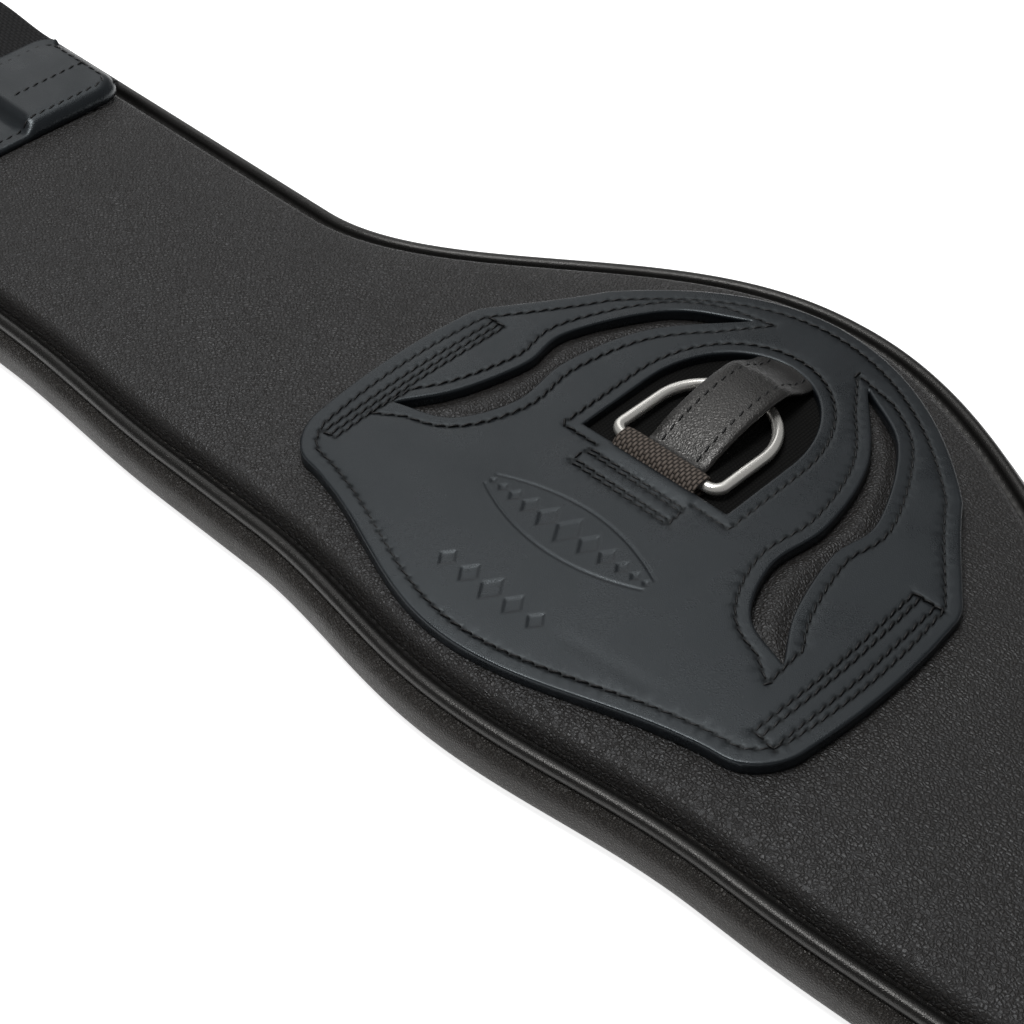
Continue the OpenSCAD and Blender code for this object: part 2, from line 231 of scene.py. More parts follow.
def inside(points: Array, loop: Array) -> Array:
    """Whether each point lies inside a closed loop: the count of sides crossed by a ray is odd.

    Args:
        points: the points to test.
        loop: the loop's corners.

    Returns:
        One boolean for each point.
    """
    a, b = loop[None, :, :], np.roll(loop, -1, axis=0)[None, :, :]
    x, y = points[:, 0:1], points[:, 1:2]
    span = (a[..., 1] > y) != (b[..., 1] > y)
    rise = np.where(np.abs(b[..., 1] - a[..., 1]) < 1e-12, 1e-12, b[..., 1] - a[..., 1])
    cross = a[..., 0] + (y - a[..., 1]) * (b[..., 0] - a[..., 0]) / rise
    return ((span & (x < cross)).sum(axis=1) % 2) == 1


class LineDistance:
    """The distance from points to the nearest span of several lines."""

    def __init__(self, lines: list[Array]) -> None:
        """Keeps the lines' spans.

        Args:
            lines: each line's corners.
        """
        self.start = np.concatenate([line[:-1] for line in lines]).astype(np.float32)
        self.span = np.concatenate([np.diff(line, axis=0) for line in lines]).astype(np.float32)
        self.square = np.maximum((self.span**2).sum(axis=1), 1e-9)

    def __call__(self, points: Array, block: int = 4096) -> Array:
        """The distance of each point, worked out for a block of points at a time."""
        blocks = [self.nearest(points[k : k + block].astype(np.float32)) for k in range(0, len(points), block)]
        return np.concatenate(blocks).astype(float) if blocks else np.zeros(0)

    def nearest(self, points: Array) -> Array:
        """The least length left of (point - start) when its part along the span is taken off, the
        part being held between nothing and the whole span."""
        dx, dy = points[:, :1] - self.start[:, 0], points[:, 1:] - self.start[:, 1]
        share = np.clip((dx * self.span[:, 0] + dy * self.span[:, 1]) / self.square, 0, 1)
        dx -= share * self.span[:, 0]
        dy -= share * self.span[:, 1]
        return np.sqrt((dx * dx + dy * dy).min(axis=1))


class LoopDistance(LineDistance):
    """The distance from points to one closed loop."""

    def __init__(self, loop: Array) -> None:
        """Keeps the loop's spans, its last side included."""
        super().__init__([closed(loop)])


def offset_loop(loop: Array, outwards: float, step: float = 0.8) -> Array:
    """The loop moved outwards by a distance, rounded at its corners.

    Args:
        loop: an anticlockwise loop.
        outwards: how far, negative for inwards.
        step: spacing of the returned points.

    Returns:
        The moved loop, evenly spaced.
    """
    line = spaced(closed(loop), max(16, int(curve_length(closed(loop)) / 0.2)))[:-1]
    normal = -loop_normals(line)
    before, after = np.roll(normal, 1, axis=0), normal
    fan = unit(np.stack([before * (1 - w) + after * w for w in (0.0, 0.25, 0.5, 0.75)], axis=1) + 1e-9)
    moved = (line[:, None, :] + outwards * fan).reshape(-1, 2)
    kept = moved[LoopDistance(loop)(moved) > abs(outwards) - 0.06]
    return spaced(closed(kept), max(12, round(curve_length(closed(kept)) / step)))[:-1]


# ---------------------------------------------------------------- meshes from arrays


def grid_faces(rows: int, columns: int, wrap: bool = False, wrap_rows: bool = False) -> Array:
    """Quads between the rows and columns of a grid of points.

    Args:
        rows: number of rows.
        columns: number of columns.
        wrap: whether the last column joins the first.
        wrap_rows: whether the last row joins the first.

    Returns:
        Corner numbers, four to a face.
    """
    r = np.arange(rows if wrap_rows else rows - 1)[:, None]
    c = np.arange(columns if wrap else columns - 1)[None, :]
    r1, c1 = (r + 1) % rows, (c + 1) % columns
    return np.stack([r * columns + c, r * columns + c1, r1 * columns + c1, r1 * columns + c], axis=-1).reshape(-1, 4)


@dataclass
class Surface:
    """A mesh as arrays: points in girth millimetres, faces and the corners' UVs."""

    points: Array
    faces: list[Array]
    uvs: Optional[list[Array]] = None

    def flipped(self) -> "Surface":
        """The same surface facing the other way."""
        uvs = None if self.uvs is None else [u[:, ::-1] for u in self.uvs]
        return Surface(self.points, [f[:, ::-1] for f in self.faces], uvs)

    def placed(self, place: Callable[[Array], Array]) -> "Surface":
        """The same faces on points moved by a function."""
        return Surface(place(self.points), self.faces, self.uvs)


def joined(parts: list[Surface]) -> Surface:
    """Several surfaces as one, their points numbered on.

    Args:
        parts: the surfaces.

    Returns:
        One surface with all their points and faces.
    """
    start, faces, uvs = 0, [], []
    for part in parts:
        faces += [f + start for f in part.faces]
        uvs += part.uvs if part.uvs is not None else [np.zeros(f.shape + (2,)) for f in part.faces]
        start += len(part.points)
    return Surface(np.concatenate([part.points for part in parts]), faces, uvs)


def grid_surface(points: Array, wrap: bool = False, wrap_rows: bool = False, caps: bool = False) -> Surface:
    """A surface on a grid of points, with UVs in millimetres along its columns and rows.

    Args:
        points: rows by columns by three.
        wrap: whether the columns close on themselves.
        wrap_rows: whether the rows close on themselves.
        caps: whether the first and last rows are filled, each round its mean point.

    Returns:
        The surface, with faces that point left of the way the columns then the rows run.
    """
    rows, columns = points.shape[:2]
    faces = grid_faces(rows, columns, wrap, wrap_rows)
    along = np.linalg.norm(np.diff(points, axis=1, append=points[:, :1]), axis=2).mean(axis=0)
    across = np.linalg.norm(np.diff(points, axis=0, append=points[:1]), axis=2).mean(axis=1)
    u, v = np.concatenate([[0], np.cumsum(along)]), np.concatenate([[0], np.cumsum(across)])
    full = np.stack(np.broadcast_arrays(u[None, :], v[:, None]), axis=-1)
    table = full[: rows + wrap_rows, : columns + wrap]
    uv = table.reshape(-1, 2)[grid_faces(rows + wrap_rows, columns + wrap)]
    flat, face_sets, uv_sets = points.reshape(-1, 3), [faces], [uv]
    if caps:
        flat = np.concatenate([flat, points[0].mean(axis=0)[None], points[-1].mean(axis=0)[None]])
        c = np.arange(columns)
        first = np.stack([np.full(columns, rows * columns), (c + 1) % columns, c], axis=1)
        base = (rows - 1) * columns
        last = np.stack([np.full(columns, rows * columns + 1), base + c, base + (c + 1) % columns], axis=1)
        face_sets += [first, last]
        uv_sets += [np.zeros(first.shape + (2,)), np.zeros(last.shape + (2,))]
    return Surface(flat, face_sets, uv_sets)


def to_row(points: Array, datum: Datum) -> Array:
    """Girth millimetres as row metres: (x, y + window_y, z) times 0.001."""
    return (points + np.array([0.0, datum.window_y, 0.0])) * MM


def close_up(mesh: bpy.types.Mesh, near: float = 2e-6) -> None:
    """Joins points that lie together and turns every closed part's faces outwards.

    Args:
        mesh: the mesh.
        near: how near, in metres.
    """
    work = bmesh.new()
    work.from_mesh(mesh)
    bmesh.ops.remove_doubles(work, verts=work.verts, dist=near)
    bmesh.ops.dissolve_degenerate(work, edges=work.edges, dist=1e-7)
    bmesh.ops.recalc_face_normals(work, faces=work.faces)
    work.to_mesh(mesh)
    work.free()


def piece(
    name: str,
    surface: Surface,
    datum: Datum,
    material: bpy.types.Material,
    shade: Optional[Array] = None,
) -> bpy.types.Object:
    """Makes an object of a surface and dresses it.

    Args:
        name: the piece's name.
        surface: its shape in girth millimetres.
        datum: the frame's measures.
        material: its material.
        shade: painted shade at each of the first points, from 0 to 1, which darkens and dulls the finish there.

    Returns:
        The object, at the origin, with its place in its mesh.
    """
    mesh = bpy.data.meshes.new(name)
    corners = np.concatenate([f.ravel() for f in surface.faces]).astype(np.int32)
    sizes = np.concatenate([np.full(len(f), f.shape[1]) for f in surface.faces])
    starts = np.concatenate([[0], np.cumsum(sizes)[:-1]]).astype(np.int32)
    mesh.vertices.add(len(surface.points))
    mesh.vertices.foreach_set("co", to_row(surface.points, datum).astype(np.float32).ravel())
    mesh.loops.add(len(corners))
    mesh.loops.foreach_set("vertex_index", corners)
    mesh.polygons.add(len(starts))
    mesh.polygons.foreach_set("loop_start", starts)
    mesh.polygons.foreach_set("use_smooth", np.ones(len(starts), bool))
    mesh.update(calc_edges=True)
    if surface.uvs is not None:
        layer = mesh.uv_layers.new(name="UVMap")
        layer.data.foreach_set("uv", np.concatenate([u.reshape(-1, 2) for u in surface.uvs]).astype(np.float32).ravel())
    if shade is not None:
        full = np.zeros(len(surface.points), np.float32)
        full[: len(shade)] = shade
        mesh.attributes.new("shade", "FLOAT", "POINT").data.foreach_set("value", full)
    mesh.validate()
    close_up(mesh)
    mesh.materials.append(material)
    obj = bpy.data.objects.new(name, mesh)
    bpy.context.scene.collection.objects.link(obj)
    log.info("%s: %d points, %d faces", name, len(surface.points), len(starts))
    return obj


@dataclass
class Region:
    """A flat region with holes, filled with triangles.

    Attributes:
        points: its points in the plane.
        faces: its triangles, anticlockwise.
        loops: for each edge loop, the numbers of its points in order.
    """

    points: Array
    faces: Array
    loops: list[Array]

    @classmethod
    def filled(cls, loops: list[Array], inner: Array) -> "Region":
        """Fills the region between an outer loop and its holes by a Delaunay triangulation.

        Args:
            loops: the outer loop, then the holes; all are anticlockwise.
            inner: further points inside the region.

        Returns:
            The region.
        """
        starts = np.cumsum([0] + [len(loop) for loop in loops])
        edges = [
            (int(s + i), int(s + (i + 1) % len(loop))) for s, loop in zip(starts, loops) for i in range(len(loop))
        ]
        flat = np.concatenate([*loops, inner])
        out = delaunay_2d_cdt([Vector(p) for p in flat], edges, [list(range(len(loops[0])))], 1, 1e-6, True)
        points = np.array([(v.x, v.y) for v in out[0]])
        faces = np.array([f for f in out[2] if len(f) == 3])
        origin = {source: index for index, sources in enumerate(out[3]) for source in sources}
        numbers = [np.array([origin[int(s) + i] for i in range(len(loop))]) for s, loop in zip(starts, loops)]
        for k, (number, loop) in enumerate(zip(numbers, loops)):
            on_loop = np.isin(faces, number).all(axis=1)
            centres = points[faces[on_loop]].mean(axis=1)
            wrong = inside(centres, loop) if k else ~inside(centres, loop)
            faces = np.delete(faces, np.flatnonzero(on_loop)[wrong], axis=0)
        return cls(points, faces, numbers)

    def slab(self, top: Array, bottom: Array, wall_rows: int = 2) -> Surface:
        """A closed slab on the region.

        Args:
            top: height of each point's top.
            bottom: height of each point's underside.
            wall_rows: spans of the walls.

        Returns:
            The top, the underside and the walls along each loop, joined point to point.
        """
        count = len(self.points)
        points = [np.column_stack([self.points, top]), np.column_stack([self.points, bottom])]
        faces, start = [self.faces, self.faces[:, ::-1] + count], 2 * count
        for k, loop in enumerate(self.loops):
            rows = [loop]
            for r in range(1, wall_rows):
                w = r / wall_rows
                height = top[loop] * (1 - w) + bottom[loop] * w
                points.append(np.column_stack([self.points[loop], height]))
                rows.append(np.arange(start, start + len(loop)))
                start += len(loop)
            rows.append(loop + count)
            for upper, lower in zip(rows, rows[1:]):
                quad = np.stack([upper, lower, np.roll(lower, -1), np.roll(upper, -1)], axis=1)
                faces.append(quad if k == 0 else quad[:, ::-1])
        flat = np.concatenate(points)
        return Surface(flat, faces, [flat[f][..., :2] for f in faces])


def hex_points(low: tuple[float, float], high: tuple[float, float], step: float) -> Array:
    """Points on a triangular lattice in a box: every other row is shifted by half a step.

    Args:
        low: the box's lowest corner.
        high: its highest corner.
        step: the lattice's spacing.

    Returns:
        The points.
    """
    rows = np.arange(low[1], high[1], step * math.sqrt(3) / 2)
    columns = np.arange(low[0], high[0], step)
    x, y = np.meshgrid(columns, rows)
    x = x + (np.arange(len(rows)) % 2)[:, None] * step / 2
    return np.stack([x.ravel(), y.ravel()], axis=1)


def swept(path: Array, outline: Array, side: Array) -> Array:
    """A profile carried along a path: each point is path + a * side + b * normal, where normal is
    side cross tangent.

    Args:
        path: the path's points.
        outline: the closed profile's (a, b) points, or one such profile for each path point.
        side: the unit direction that a is measured along.

    Returns:
        Points, path rows by profile columns by three.
    """
    tangent = unit(np.gradient(path, axis=0))
    normal = unit(np.cross(tangent, side))
    profile = outline if outline.ndim == 3 else np.broadcast_to(outline, (len(path),) + outline.shape)
    return path[:, None] + profile[..., :1] * side + profile[..., 1:] * normal[:, None]


def rounded_band(half_w: float, half_t: float, power: float = 5.0, count: int = 32) -> Array:
    """A strap's section: the superellipse |a/half_w|^power + |b/half_t|^2.4 = 1, in polar steps.

    Args:
        half_w: half the strap's width.
        half_t: half its thickness.
        power: squareness along the width.
        count: number of points.

    Returns:
        The section's (a, b) points, anticlockwise.
    """
    t = np.arange(count) * 2 * np.pi / count
    a = np.sign(np.cos(t)) * np.abs(np.cos(t)) ** (2 / power) * half_w
    b = np.sign(np.sin(t)) * np.abs(np.sin(t)) ** (2 / 2.4) * half_t
    return np.stack([a, b], axis=1)


# ---------------------------------------------------------------- stitches


@dataclass
class Thread:
    """Waxed thread, sewn in stitches that dip into their holes.

    Attributes:
        pitch: distance between holes.
        length: visible length of one stitch.
        radius: the thread's radius.
        lift: how far the middle of a stitch stands over the leather.
        slant: how far each stitch is turned from its row, in degrees.
    """

    pitch: float = STITCH_PITCH
    length: float = 2.95
    radius: float = 0.27
    lift: float = 0.16
    slant: float = 11.0

    def stitch(self) -> tuple[Array, list[Array]]:
        """One stitch: rings of six points about an arch that falls as 1 - s^4 towards its ends.

        Returns:
            Points along, across and over the row, and the faces.
        """
        s = np.array([-1.0, -0.78, -0.3, 0.3, 0.78, 1.0])
        size = np.array([0.35, 0.9, 1.0, 1.0, 0.9, 0.35]) * self.radius
        height = self.lift - 0.55 * s**4 - self.radius * 0.35
        a = np.arange(6) * np.pi / 3
        rings = np.stack(
            np.broadcast_arrays(
                (s * self.length / 2)[:, None],
                size[:, None] * np.cos(a),
                height[:, None] + size[:, None] * np.sin(a),
            ),
            axis=-1,
        )
        faces = grid_faces(6, 6, wrap=True)[:, ::-1]
        ends = [np.array([[5, 4, 3, 2, 1, 0]])[:, ::-1], np.array([[30, 31, 32, 33, 34, 35]])[:, ::-1]]
        return rings.reshape(-1, 3), [faces, *ends]

    def row(self, line: Array, up: Array) -> Surface:
        """Stitches along a line on a surface.

        Args:
            line: the line's points in three dimensions.
            up: the surface's normal, one for all or one for each point.

        Returns:
            All the row's stitches.
        """
        count = max(1, round(curve_length(line) / self.pitch))
        fine = spaced(line, 2 * count + 1)
        centre, tangent = fine[1::2], unit(fine[2::2] - fine[:-2:2])
        normals = np.broadcast_to(up, line.shape)
        share = np.linspace(0, len(line) - 1, count)
        normal = unit(np.stack([np.interp(share, np.arange(len(line)), normals[:, k]) for k in range(3)], axis=1))
        across = unit(np.cross(normal, tangent))
        c, s = math.cos(math.radians(self.slant)), math.sin(math.radians(self.slant))
        tangent, across = tangent * c + across * s, across * c - tangent * s
        shape, faces = self.stitch()
        points = (
            centre[:, None]
            + shape[None, :, 0:1] * tangent[:, None]
            + shape[None, :, 1:2] * across[:, None]
            + shape[None, :, 2:3] * normal[:, None]
        ).reshape(-1, 3)
        step = np.arange(count)[:, None, None] * len(shape)
        sets = [(f[None] + step).reshape(-1, f.shape[1]) for f in faces]
        uv_of = np.tile(shape[:, :2], (count, 1))
        return Surface(points, sets, [uv_of[f] for f in sets])


UP = np.array([0.0, 0.0, 1.0])


def at_height(line: Array, height: float) -> Array:
    """A plane line lifted to a height."""
    return np.column_stack([line, np.full(len(line), height)])


# ---------------------------------------------------------------- finishes


class Nodes:
    """A short way to write a material's nodes."""

    def __init__(self, name: str) -> None:
        """Starts an empty material with a Principled shader.

        Args:
            name: the material's name.
        """
        self.material = bpy.data.materials.new(name)
        self.material.use_nodes = True
        self.tree = self.material.node_tree
        self.tree.nodes.clear()
        self.shader = self.add("ShaderNodeBsdfPrincipled")
        output = self.add("ShaderNodeOutputMaterial")
        self.link(self.shader, "BSDF", output, "Surface")

    def add(self, kind: str, **settings: object) -> bpy.types.Node:
        """Adds a node; a setting sets the socket of that name (underscores are spaces) or property."""
        made = self.tree.nodes.new(kind)
        for key, value in settings.items():
            socket = made.inputs.get(key.replace("_", " "))
            if hasattr(made, key) and socket is None:
                setattr(made, key, value)
            else:
                socket.default_value = value
        return made

    def link(self, source: bpy.types.Node, output: str | int, target: bpy.types.Node, socket: str | int) -> None:
        """Joins an output to an input."""
        self.tree.links.new(source.outputs[output], target.inputs[socket])

    def coordinates(self, kind: str = "Object", scale: tuple[float, float, float] = (1, 1, 1)) -> bpy.types.Node:
        """Texture coordinates of one kind in millimetres, through a Mapping node that scales them."""
        source = self.add("ShaderNodeTexCoord")
        mapping = self.add("ShaderNodeMapping", Scale=tuple(s / MM for s in scale))
        self.link(source, kind, mapping, "Vector")
        return mapping

    def noise(self, where: bpy.types.Node, scale: float, detail: float = 3, rough: float = 0.5) -> bpy.types.Node:
        """Fractal noise at a scale, on coordinates that a node gives."""
        made = self.add("ShaderNodeTexNoise", Scale=scale, Detail=detail, Roughness=rough)
        self.link(where, 0, made, "Vector")
        return made

    def math(self, operation: str, a: object, b: object = 0.0) -> bpy.types.Node:
        """A math node on two numbers or nodes' first outputs."""
        made = self.add("ShaderNodeMath", operation=operation)
        for index, value in enumerate((a, b)):
            if isinstance(value, bpy.types.Node):
                self.link(value, 0, made, index)
            elif isinstance(value, bpy.types.NodeSocket):
                self.tree.links.new(value, made.inputs[index])
            else:
                made.inputs[index].default_value = value
        return made

    def ramp(self, source: bpy.types.Node, low: float, high: float, to_low: float, to_high: float) -> bpy.types.Node:
        """A number mapped from one range to another, held at its ends."""
        made = self.add("ShaderNodeMapRange")
        for socket, value in zip(("From Min", "From Max", "To Min", "To Max"), (low, high, to_low, to_high)):
            made.inputs[socket].default_value = value
        self.link(source, 0, made, "Value")
        return made

    def blend(self, share: bpy.types.Node, a: tuple[float, ...], b: tuple[float, ...]) -> bpy.types.Node:
        """A colour between a and b by a node's number."""
        made = self.add("ShaderNodeMix", data_type="RGBA")
        made.inputs[6].default_value = (*a, 1)
        made.inputs[7].default_value = (*b, 1)
        self.tree.links.new(share.outputs[0], made.inputs[0])
        return made

    def bump(self, height: bpy.types.Node, depth_mm: float, strength: float = 1.0) -> None:
        """Bumps the shader's normal by a height of at most depth_mm."""
        made = self.add("ShaderNodeBump", Strength=strength, Distance=depth_mm * MM)
        self.link(height, 0, made, "Height")
        self.link(made, "Normal", self.shader, "Normal")

    def set(self, **values: object) -> None:
        """Sets sockets of the shader."""
        for key, value in values.items():
            self.shader.inputs[key.replace("_", " ")].default_value = value


@dataclass(frozen=True)
class Leather:
    """A dyed leather finish.

    Attributes:
        name: the material's name.
        dark: colour in the grain's hollows.
        light: colour on its tops.
        grain_mm: width of one pebble of the grain.
        grain_depth: depth of the grain in millimetres.
        roughness: gloss of the tops; the hollows are duller.
        coat: strength of the finish's clear coat.
        mottle: how much the gloss wanders over a few centimetres.
        shine: the shader's specular level.
        tint: colour of its reflections.
    """

    name: str
    dark: tuple[float, float, float]
    light: tuple[float, float, float]
    grain_mm: float
    grain_depth: float
    roughness: float
    coat: float = 0.0
    mottle: float = 0.06
    shine: float = 0.5
    tint: tuple[float, float, float] = (1.0, 0.98, 0.95)

    def material(self) -> bpy.types.Material:
        """Pebbles are the distance to the edges of a jittered cell pattern, bent by fine noise.

        Returns:
            The material.
        """
        n = Nodes(self.name)
        where = n.coordinates()
        bend = n.noise(where, 0.55 / self.grain_mm, 2)
        bent = n.add("ShaderNodeVectorMath", operation="MULTIPLY_ADD")
        n.link(bend, "Color", bent, 0)
        bent.inputs[1].default_value = (self.grain_mm * 1.1,) * 3
        n.link(where, 0, bent, 2)
        cells = n.add("ShaderNodeTexVoronoi", feature="DISTANCE_TO_EDGE", Scale=1 / self.grain_mm)
        n.link(bent, 0, cells, "Vector")
        pebble = n.ramp(cells, 0.0, 0.3, 0.0, 1.0)
        fine = n.noise(where, 2.6 / self.grain_mm, 3)
        broad = n.noise(where, 0.06, 3)
        height = n.math("ADD", n.math("MULTIPLY", pebble, 0.7), n.math("MULTIPLY", fine, 0.3))
        n.bump(height, self.grain_depth)
        # Painted shade: the mesh's 'shade' attribute blends the base colour towards near black and raises the roughness
        # in the stitch holes and seam furrows that carry it.
        shade = n.add("ShaderNodeAttribute", attribute_name="shade")
        painted_shade_mix = n.add("ShaderNodeMix", data_type="RGBA")
        n.link(shade, "Fac", painted_shade_mix, 0)
        n.link(n.blend(pebble, self.dark, self.light), 2, painted_shade_mix, 6)
        painted_shade_mix.inputs[7].default_value = (0.001, 0.001, 0.001, 1)
        n.link(painted_shade_mix, 2, n.shader, "Base Color")
        dull = n.math("SUBTRACT", self.roughness + 0.1, n.math("MULTIPLY", pebble, 0.1))
        wander = n.math("MULTIPLY", n.math("SUBTRACT", broad, 0.5), self.mottle * 4)
        shade_dulling = n.math("MULTIPLY", shade.outputs["Fac"], 0.45)
        n.link(n.math("ADD", n.math("ADD", dull, wander), shade_dulling), 0, n.shader, "Roughness")
        n.set(Specular_IOR_Level=self.shine, Specular_Tint=(*self.tint, 1), Coat_Weight=self.coat, Coat_Roughness=0.3)
        return n.material


@dataclass(frozen=True)
class Web:
    """A woven web: cords that run one way and picks that cross them, on the piece's own UV in mm.

    Attributes:
        name: the material's name.
        dark: colour between the cords.
        light: colour on the cords.
        cord_mm: spacing of the cords along U.
        pick_mm: spacing of the picks along V.
        depth: depth of the weave in millimetres.
        roughness: its roughness.
    """

    name: str
    dark: tuple[float, float, float]
    light: tuple[float, float, float]
    cord_mm: float
    pick_mm: float
    depth: float
    roughness: float = 0.7

    def material(self) -> bpy.types.Material:
        """The height is |sin(u pi / cord)| times a pick wave whose phase flips from cord to cord.

        Returns:
            The material.
        """
        n = Nodes(self.name)
        source = n.add("ShaderNodeTexCoord")
        split = n.add("ShaderNodeSeparateXYZ")
        n.link(source, "UV", split, 0)
        cord = n.math("MULTIPLY", split.outputs[0], math.pi / self.cord_mm)
        pick = n.math("MULTIPLY", split.outputs[1], math.pi / self.pick_mm)
        round_cord = n.math("ABSOLUTE", n.math("SINE", cord))
        flip = n.math("MULTIPLY", n.math("FLOOR", n.math("DIVIDE", cord, math.pi)), math.pi / 2)
        round_pick = n.math("ABSOLUTE", n.math("SINE", n.math("ADD", pick, flip)))
        weave = n.math("MULTIPLY", n.math("POWER", round_cord, 0.6), n.math("POWER", round_pick, 0.6))
        fibre = n.noise(n.coordinates(), 4.5, 2)
        height = n.math("ADD", weave, n.math("MULTIPLY", fibre, 0.25))
        n.bump(height, self.depth)
        n.link(n.blend(weave, self.dark, self.light), 2, n.shader, "Base Color")
        n.set(Roughness=self.roughness, Specular_IOR_Level=0.22)
        return n.material


@dataclass(frozen=True)
class Steel:
    """Polished stainless steel with fine rubbing marks."""

    name: str = "polished_steel"
    colour: tuple[float, float, float] = (0.97, 0.95, 0.90)
    roughness: float = 0.24

    def material(self) -> bpy.types.Material:
        """Roughness wanders with a stretched noise, and the same noise makes hair-fine marks.

        Returns:
            The material.
        """
        n = Nodes(self.name)
        marks = n.noise(n.coordinates("Object", (1, 0.12, 1)), 0.5, 2)
        n.link(n.ramp(marks, 0.3, 0.7, self.roughness - 0.04, self.roughness + 0.07), 0, n.shader, "Roughness")
        cloud = n.noise(n.coordinates(), 0.16, 2)
        shade = tuple(c * 0.93 for c in self.colour)
        n.link(n.blend(cloud, self.colour, shade), 2, n.shader, "Base Color")
        n.bump(marks, 0.002)
        n.set(Metallic=0.82)
        return n.material


@dataclass(frozen=True)
class Yarn:
    """Waxed sewing thread: a plain colour with a twist of fine noise."""

    name: str
    colour: tuple[float, float, float]
    roughness: float
    scale: float = 5.2
    depth: float = 0.05

    def material(self) -> bpy.types.Material:
        """Fine noise colours and bumps the surface.

        Returns:
            The material.
        """
        n = Nodes(self.name)
        twist = n.noise(n.coordinates(), self.scale, 2)
        n.link(n.blend(twist, tuple(c * 0.6 for c in self.colour), self.colour), 2, n.shader, "Base Color")
        n.bump(twist, self.depth)
        n.set(Roughness=self.roughness, Specular_IOR_Level=0.4)
        return n.material


class Finish(Enum):
    """Every finish on the girth."""

    PANEL = Leather(
        "panel_finish", (0.0085, 0.0075, 0.0068), (0.0175, 0.0152, 0.0134), 0.98, 0.2, 0.43, tint=(0.95, 0.97, 1.0)
    )
    LINING = Leather(
        "lining_finish", (0.0055, 0.0047, 0.0041), (0.0155, 0.013, 0.011), 0.75, 0.16, 0.42, shine=0.32
    )
    PIPING = Leather(
        "piping_finish", (0.004, 0.0038, 0.0036), (0.0075, 0.007, 0.0066), 0.55, 0.035, 0.27, 0.1, shine=0.4
    )
    PATCH = Leather(
        "patch_finish", (0.0045, 0.0058, 0.0075), (0.0064, 0.0082, 0.0106), 0.5, 0.02, 0.29, 0.08, 0.14,
        tint=(0.86, 0.95, 1.0),
    )
    STRAP = Leather("strap_finish", (0.0055, 0.0052, 0.005), (0.0095, 0.009, 0.0086), 0.85, 0.07, 0.28, 0.12, shine=0.5)
    BACKING = Web("backing_finish", (0.0004, 0.0004, 0.0004), (0.0042, 0.004, 0.0036), 0.95, 0.95, 0.3, 0.85)
    # The keeper's cord tops are far lighter than the dark web between them. This is the weave pattern plus a painted
    # highlight on the cord tops.
    KEEPER = Web("keeper_finish", (0.003, 0.0025, 0.0022), (0.16, 0.132, 0.112), 0.95, 1.9, 0.5, 0.6)
    CORE = Web("core_finish", (0.01, 0.01, 0.011), (0.04, 0.04, 0.045), 1.6, 1.2, 0.2, 0.7)
    ELASTIC = Web("elastic_finish", (0.0015, 0.0015, 0.0018), (0.013, 0.013, 0.014), 1.1, 2.2, 0.25, 0.62)
    THREAD = Yarn("thread_finish", (0.0045, 0.0045, 0.005), 0.42)
    STEEL = Steel()

    @property
    def material(self) -> bpy.types.Material:
        """The finish's material, made once."""
        found = bpy.data.materials.get(self.value.name)
        return found or self.value.material()


# ---------------------------------------------------------------- outlines shared by the pieces


@dataclass
class BodyOutline:
    """The piping line of the padded body, the same curve that the frame is made from."""

    half_len: float
    neck_y: float = -26.0
    neck_w: float = 92.0
    front_bulge: float = 64.8
    front_runs: tuple[float, float] = (140.0, 165.0)
    front_power: float = 1.11
    rear_bulge: float = 6.8
    rear_peak: float = 8.0
    rear_runs: tuple[float, float] = (68.0, 75.0)
    hip: float = 2.8
    hip_span: tuple[float, float] = (95.0, 160.0)
    end_r: float = 30.0

    def front_y(self, x: Array) -> Array:
        """The front edge: the neck's line plus a bulge that eases out over each side's run."""
        t = np.where(x > 0, np.abs(x) / self.front_runs[1], (np.abs(x) / self.front_runs[0]) ** self.front_power)
        return self.neck_y + self.neck_w / 2 + self.front_bulge * ease(t)

    def rear_y(self, x: Array) -> Array:
        """The rear edge: the neck's line less the hips and a bulge just right of the middle."""
        near, far = self.hip_span
        hips = self.hip * ease(np.maximum(0, np.abs(x) - near) / (far - near))
        run = np.where(x > self.rear_peak, self.rear_runs[1], self.rear_runs[0])
        return self.neck_y - self.neck_w / 2 - hips - self.rear_bulge * ease((x - self.rear_peak) / run)

    def loop(self) -> Array:
        """The closed outline, anticlockwise from the rear left corner.

        Returns:
            Its points, close along the curves.
        """
        cx, r = self.half_len - self.end_r, self.end_r
        front, rear = self.neck_y + self.neck_w / 2, self.neck_y - self.neck_w / 2
        back = np.linspace(-self.hip_span[1], self.hip_span[1], 220)
        fore = np.linspace(self.front_runs[1], -self.front_runs[0], 220)
        return np.concatenate(
            [
                arc((-cx, rear + r), r, 180, 270, 24),
                np.stack([back, self.rear_y(back)], axis=1),
                arc((cx, rear + r), r, 270, 360, 24),
                arc((cx, front - r), r, 0, 90, 24),
                np.stack([fore, self.front_y(fore)], axis=1),
                arc((-cx, front - r), r, 90, 180, 24),
            ]
        )

    def sampled(self, count: int) -> tuple[Array, Array]:
        """Even samples of the outline.

        Args:
            count: how many.

        Returns:
            The samples and their inward normals.
        """
        points = spaced(closed(self.loop()), count + 1)[:-1]
        return points, loop_normals(points)


